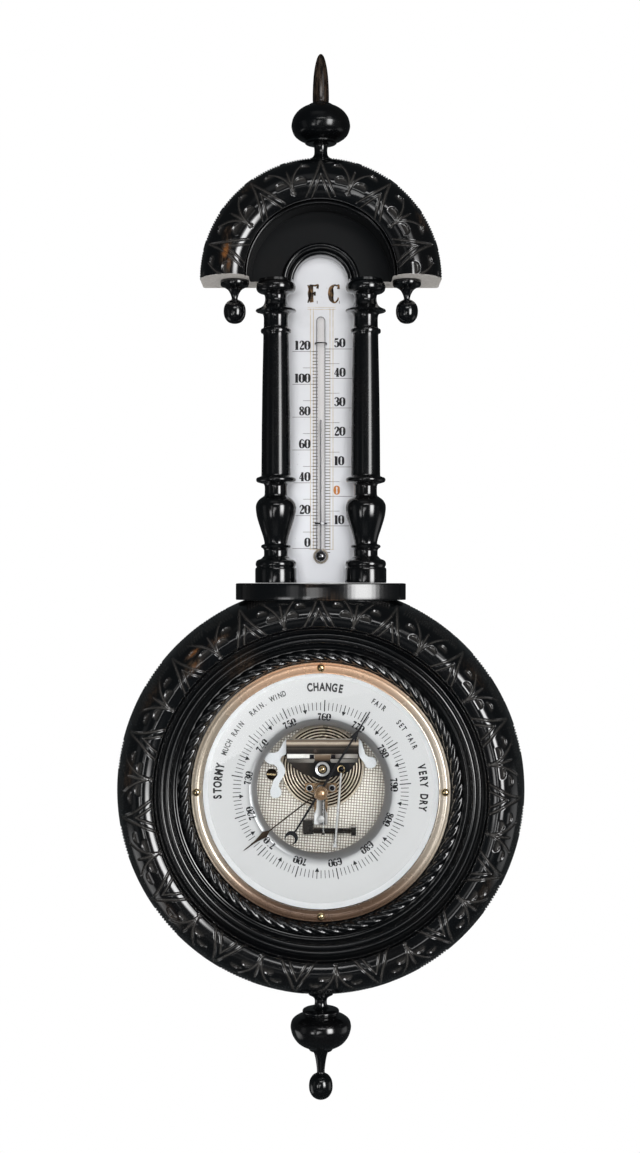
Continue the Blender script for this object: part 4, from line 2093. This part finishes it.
    def build_spring(self) -> None:
        """Builds the folded main spring."""
        (depth, height), (inner, outer) = self.fold, self.fold_radii
        turn = np.linspace(0, math.pi, 28)
        outside = [(depth - outer * math.cos(t), height + outer * math.sin(t)) for t in turn]
        inside = [(depth + inner * math.cos(t), height + inner * math.sin(t)) for t in turn]
        section = [(21.7, 23.1), *outside, (26.3, 18.4), (25.5, 18.4), *inside, (22.5, 23.1)]
        points = [(x, -near, up) for x in self.spring_sides for near, up in section]
        size = len(section)
        faces = [[i, (i + 1) % size, size + (i + 1) % size, size + i] for i in range(size)]
        faces += [list(range(size))[::-1], [size + i for i in range(size)]]
        spring = mesh_object("spring_fold", points, faces, weld=True)
        dress(spring, Finishes.fold, nodes=["main_spring"])

    def build_tongue(self) -> None:
        """Builds the spring's tongue with its lip, tab, clamp bar and two screws."""
        hole = arc(*self.capsule, self.stud_hole, 0, 360, 32)[:-1]
        bar, tab, rear = oblong(*self.clamp_edges), oblong(*self.tab_edges), self.blade_back
        for name, outlines, back, front, bevel, finish in (
            ("tongue_blade", [self.tongue, hole], rear, 27.6, 0.1, Finishes.blade),
            ("clamp_bar", [bar], rear, 28.2, 0.25, Finishes.clamp),
            ("blade_lip", [self.lip], rear, 28.0, 0.2, Finishes.lip),
            ("blade_tab", [tab], 27.9, 28.5, 0.12, Finishes.tab),
        ):
            piece = flat_piece(name, outlines, back, front, bevel)
            dress(piece, finish, "lever_body", ["spring_tongue"])
        half = self.clamp_head_half
        for i, (x, side) in enumerate(zip(self.clamp_heads, ("left", "right"))):
            outline = oblong(x - half, x + half, *self.clamp_head_heights)
            head = flat_piece(f"clamp_head_{i}", [outline], *self.clamp_head_depths, 0.2)
            dress(head, Finishes.blued, "lever_body", [f"clamp_screw_{side}"])

    def build_lever(self) -> None:
        """Builds the lever with its boss, eyelet and ball."""
        top, foot = np.array(self.rod_top), np.array(self.rod_foot)
        shares = np.linspace(0, 1, 14)
        radii = [0.58 + 0.2 * math.sin(math.pi * t) for t in shares]
        rod = tube_piece("lever_rod", [top + (foot - top) * t for t in shares], radii, 18)
        boss = turned("lever_boss", self.boss, 28, self.boss_place)
        dress(join_pieces("lever_steel", [rod, boss]), Finishes.steel, "lever_body", ["main_lever"])
        ring = turned("lever_eyelet", self.eyelet, 40, self.eyelet_place)
        dress(ring, Finishes.gold, "lever_body")
        ball = turned("lever_ball", bead(1.9, 29.3, 1.7, 20), 32, self.eyelet_place)
        dress(ball, Finishes.blued, "lever_body")

    def build_shaft(self) -> None:
        """Dresses the rocking shaft, its bearings and the link, and builds the chain."""
        for node, bevel in (
            ("rocking_shaft", 0.2), ("shaft_post_left", 0.3), ("shaft_post_right", 0.3), ("drop_link", 0.1)
        ):
            dress_node(node, Finishes.shaft, bevel)
        links = []
        (x, y), (wide, deep, tall) = self.chain_place, self.link_size
        for i in range(self.chain_links):
            height = self.chain_foot + i * self.chain_pitch
            odd, even = i % 2, (i + 1) % 2
            loop = [
                (x + wide * math.cos(t) * odd, y + deep * math.cos(t) * even, height + tall * math.sin(t))
                for t in np.linspace(0, 2 * math.pi, 13)
            ]
            links.append(tube_piece(f"link_{i}", loop, [0.13] * len(loop), 6))
        dress(join_pieces("fusee_chain", links), Finishes.steel, "chain_body", ["chain"])

    def build_arbor(self) -> None:
        """Builds the cock, its screw, the pillars and the hairspring, and dresses the plate."""
        dress_node("arbor_plate", Finishes.old_brass, 0.15)
        dress_node("movement_post", Finishes.nickel, 0.2)
        (left, foot), *rest = [(-x, z) for x, z in self.cock_side]
        eye, bore = self.cock_eye
        outline = [(left, foot), *self.cock_side, (eye, 0.0), *arc(0, 0, eye, 0, 180, 24), *rest[::-1]]
        hole = arc(0, 0, bore, 0, 360, 24)[:-1]
        plate = flat_piece("cock_plate", [outline, hole], *self.cock_depths, 0.25)
        block = flat_piece("cock_foot", [oblong(*self.cock_foot_edges)], *self.cock_foot_depths, 0.2)
        dress(join_pieces("cock_steel", [plate, block]), Finishes.cock, nodes=["arbor_cock"])
        head = turned("cock_screw_head", self.cock_screw, 36, (0.0, self.cock_screw_height))
        dress(head, Finishes.steel, nodes=["cock_screw"])
        for side, name in ((-self.pillar_offset, "left"), (self.pillar_offset, "right")):
            ring = turned(f"pillar_ring_{name}", self.collar, 36, (side, 0.0))
            dress(ring, Finishes.steel, nodes=[f"pillar_{name}"])
            ball = turned(f"pillar_bead_{name}", bead(1.55, 23.3, 1.3, 16), 28, (side, 0.0))
            dress(ball, Finishes.blued)
        coil = []
        inner, growth = self.coil_radii
        for t in np.linspace(0, 1, 180):
            angle, radius = math.pi + (1 - t) * self.coil_turns * 2 * math.pi, inner + t * growth
            coil.append((radius * math.cos(angle), -self.coil_depth, radius * math.sin(angle)))
        wire = tube_piece("hair_coil", coil, [self.coil_wire] * len(coil), 6)
        dress(wire, Finishes.blued, nodes=["hairspring"])

    def build_screws(self) -> None:
        """Builds the slotted plate screw and dresses the adjusting screw."""
        x, z = self.plate_screw_place
        head = turned("plate_screw_head", self.plate_screw, 40, (x, z))
        dress(head, Finishes.bronzed, nodes=["plate_screw"])
        slot = flat_piece("plate_screw_slot", [oblong(-3.0, 3.0, -0.45, 0.45)], 10.0, 10.78)
        turn_clockwise(slot, 5)
        slot.data.transform(Matrix.Translation((x * MM, 0, z * MM)))
        dress(slot, Finishes.gold)
        dress_node("adjusting_screw", Finishes.steel, 0.15)

    def build(self) -> None:
        """Builds the works."""
        self.build_base()
        self.build_capsule()
        self.build_bridge()
        self.build_spring()
        self.build_tongue()
        self.build_lever()
        self.build_shaft()
        self.build_arbor()
        self.build_screws()


@dataclass(frozen=True)
class Softbox:
    """A soft rectangular light that looks at the barometer."""

    name: str
    place: tuple[float, float, float]
    size: tuple[float, float]
    power: float
    look: tuple[float, float, float] = (0.0, 0.0, 0.1)
    lights_matt: bool = True
    is_mirrored: bool = True


@dataclass
class Studio:
    """A white studio: pale floor, softboxes, pale surroundings and the camera."""

    lights: tuple[Softbox, ...] = (
        Softbox("right_box", (1.0, -1.43, 0.2), (0.9, 1.55), 57.0, lights_matt=False),
        Softbox("right_high", (1.0, -1.43, 1.2), (0.75, 0.5), 2.4, lights_matt=False),
        Softbox("left_strip", (-0.62, -1.45, 0.1), (0.35, 0.9), 0.6, lights_matt=False),
        Softbox("near_strip", (-0.33, -1.5, -0.2), (0.16, 0.6), 1.2, lights_matt=False),
        Softbox("low_left", (-0.75, -1.3, -0.25), (0.4, 0.5), 2.4, lights_matt=False),
        Softbox("key_box", (0.1, -1.35, 0.87), (1.1, 0.26), 4.4),
        Softbox("top_box", (-0.2, -0.9, 1.5), (1.6, 0.8), 0.8),
        Softbox("left_wall", (-1.5, -0.6, 0.0), (0.8, 1.6), 0.6),
        Softbox("right_wall", (1.6, -0.5, 0.0), (0.8, 1.6), 0.2),
        Softbox("low_wall", (-0.1, -1.1, -0.75), (1.2, 0.5), 0.25),
        Softbox("left_sweep", (-1.0, 0.15, -0.6), (0.8, 0.8), 1.8),
        Softbox("right_sweep", (1.0, 0.15, -0.3), (0.8, 0.8), 1.0),
        Softbox("front_fill", (0.0, -1.6, 0.3), (0.9, 0.5), 22.0, is_mirrored=False),
        Softbox("right_fill", (0.6, -1.5, 0.5), (1.0, 1.0), 5.0, is_mirrored=False),
        Softbox("low_fill", (0.0, -0.9, -0.5), (1.0, 0.6), 3.4, is_mirrored=False),
        Softbox("floor_wash", (0.0, 0.0, -0.3), (1.8, 1.8), 11.0, (0.0, 0.001, -1.0), is_mirrored=False),
    )
    card_corners: Points = (
        (-420, -2000, -290), (-204, -2000, -227), (-165, -2000, -203), (-127, -2000, -182),
        (-108, -2000, -160), (-90, -2000, -136), (-60, -2000, -110), (200, -2000, -60), (260, -2000, 160),
        (-420, -2000, 160),
    )
    card_fade: tuple[float, float] = (-0.2, 0.15)
    card_strength: float = 2.6
    soft_edge: float = 0.7
    white: Colour = (1.0, 1.0, 1.0)
    card_grey: Colour = (0.12, 0.12, 0.12)
    room: Colour = (0.85, 0.95, 1.0)
    room_strength: float = 0.035
    floor_height: float = -0.62
    floor_radius: float = 0.78
    floor_greys: tuple[Colour, Colour] = ((0.80, 0.80, 0.80), (0.84, 0.84, 0.84))
    lens: float = 49.96
    camera_place: tuple[float, float, float] = (-0.0005, -1.009, 0.1304)

    def build_floor(self) -> None:
        """Makes the pale round floor."""
        graph = Graph("pale_floor")
        cloud = graph.noise(graph.place(), 3.0, 3.0)
        colour = graph.mix(cloud, *self.floor_greys)
        material = graph.surface({"Base Color": colour, "Roughness": 0.75})
        height = self.floor_height / MM
        profile = [(0.0, height), (self.floor_radius / MM, height)]
        floor = turned("studio_floor", profile, 96, facing=Facing.UP)
        floor.data.materials.append(material)
        floor.visible_glossy = False

    def build_world(self) -> None:
        """Makes the surroundings: white to look at, a soft grey room to reflect."""
        world = bpy.data.worlds.new("studio_room")
        bpy.context.scene.world = world
        graph = Graph(world.name, world)
        seen = graph.node("ShaderNodeLightPath", output="Is Camera Ray")
        room = graph.node("ShaderNodeBackground", None, {"Color": self.room, "Strength": self.room_strength})
        white = graph.node("ShaderNodeBackground", None, {"Color": self.white, "Strength": 1.0})
        mixed = graph.node("ShaderNodeMixShader", None, {0: seen, 1: room, 2: white})
        graph.node("ShaderNodeOutputWorld", None, {"Surface": mixed})

    def fade(self, lamp: bpy.types.Light) -> None:
        """Lets a softbox fade towards its edges, as cloth over a lamp does."""
        graph = Graph(lamp.name, lamp)
        place = graph.node("ShaderNodeNewGeometry", None, None, "Parametric")
        share = 1.0
        for axis in ("X", "Y"):
            middle = 1.0 - (place.axis(axis) - 0.5).math("ABSOLUTE") * 2.0
            share = middle.step(0.0, self.soft_edge) * share
        glow = graph.node("ShaderNodeEmission", None, {"Strength": share})
        graph.node("ShaderNodeOutputLight", None, {"Surface": glow})

    def build_lights(self) -> None:
        """Hangs the softboxes."""
        for box in self.lights:
            lamp = bpy.data.lights.new(box.name, "AREA")
            lamp.shape, lamp.size, lamp.size_y = "RECTANGLE", *box.size
            lamp.energy = box.power
            if box.is_mirrored:
                self.fade(lamp)
            holder = bpy.data.objects.new(box.name, lamp)
            holder.visible_diffuse, holder.visible_glossy = box.lights_matt, box.is_mirrored
            holder.location = box.place
            way = Vector(box.look) - Vector(box.place)
            holder.rotation_euler = way.to_track_quat("-Z", "Y").to_euler()
            bpy.context.scene.collection.objects.link(holder)

    def build_card(self) -> None:
        """Hangs the white card behind the camera whose reflection shows in the dial's glass."""
        graph = Graph("white_card")
        left = 1.0 - graph.place().axis("X").step(*self.card_fade)
        light = {"Color": graph.mix(left, self.card_grey, self.white), "Strength": self.card_strength}
        material = graph.finish(graph.node("ShaderNodeEmission", None, light))
        card = mesh_object("white_card", self.card_corners, [list(range(len(self.card_corners)))])
        card.data.materials.append(material)

    def build_camera(self) -> None:
        """Sets the camera level with the shelf, square to the wall."""
        data = bpy.data.cameras.new("camera")
        data.lens, data.sensor_width, data.sensor_height = self.lens, 36.0, 36.0
        data.clip_start, data.clip_end = 0.01, 20.0
        camera = bpy.data.objects.new("camera", data)
        camera.location = self.camera_place
        camera.rotation_euler = (math.pi / 2, 0.0, 0.0)
        bpy.context.scene.collection.objects.link(camera)
        bpy.context.scene.camera = camera

    def build(self) -> None:
        """Sets up the studio."""
        self.build_floor()
        self.build_world()
        self.build_lights()
        self.build_card()
        self.build_camera()
        bpy.context.scene.view_settings.view_transform = "Standard"


def main() -> None:
    """Builds the barometer and the studio, and keeps both boxes for the size rule."""
    logging.basicConfig(level=logging.INFO, format="%(message)s")
    Studio().build()
    for assembly in (CaseWork, TurnedWork, HoodWork, Thermometer, DialWork, Hands, Movement):
        assembly().build()
        LOG.info("%s is built", assembly.__name__)


if __name__ == "__main__":
    main()
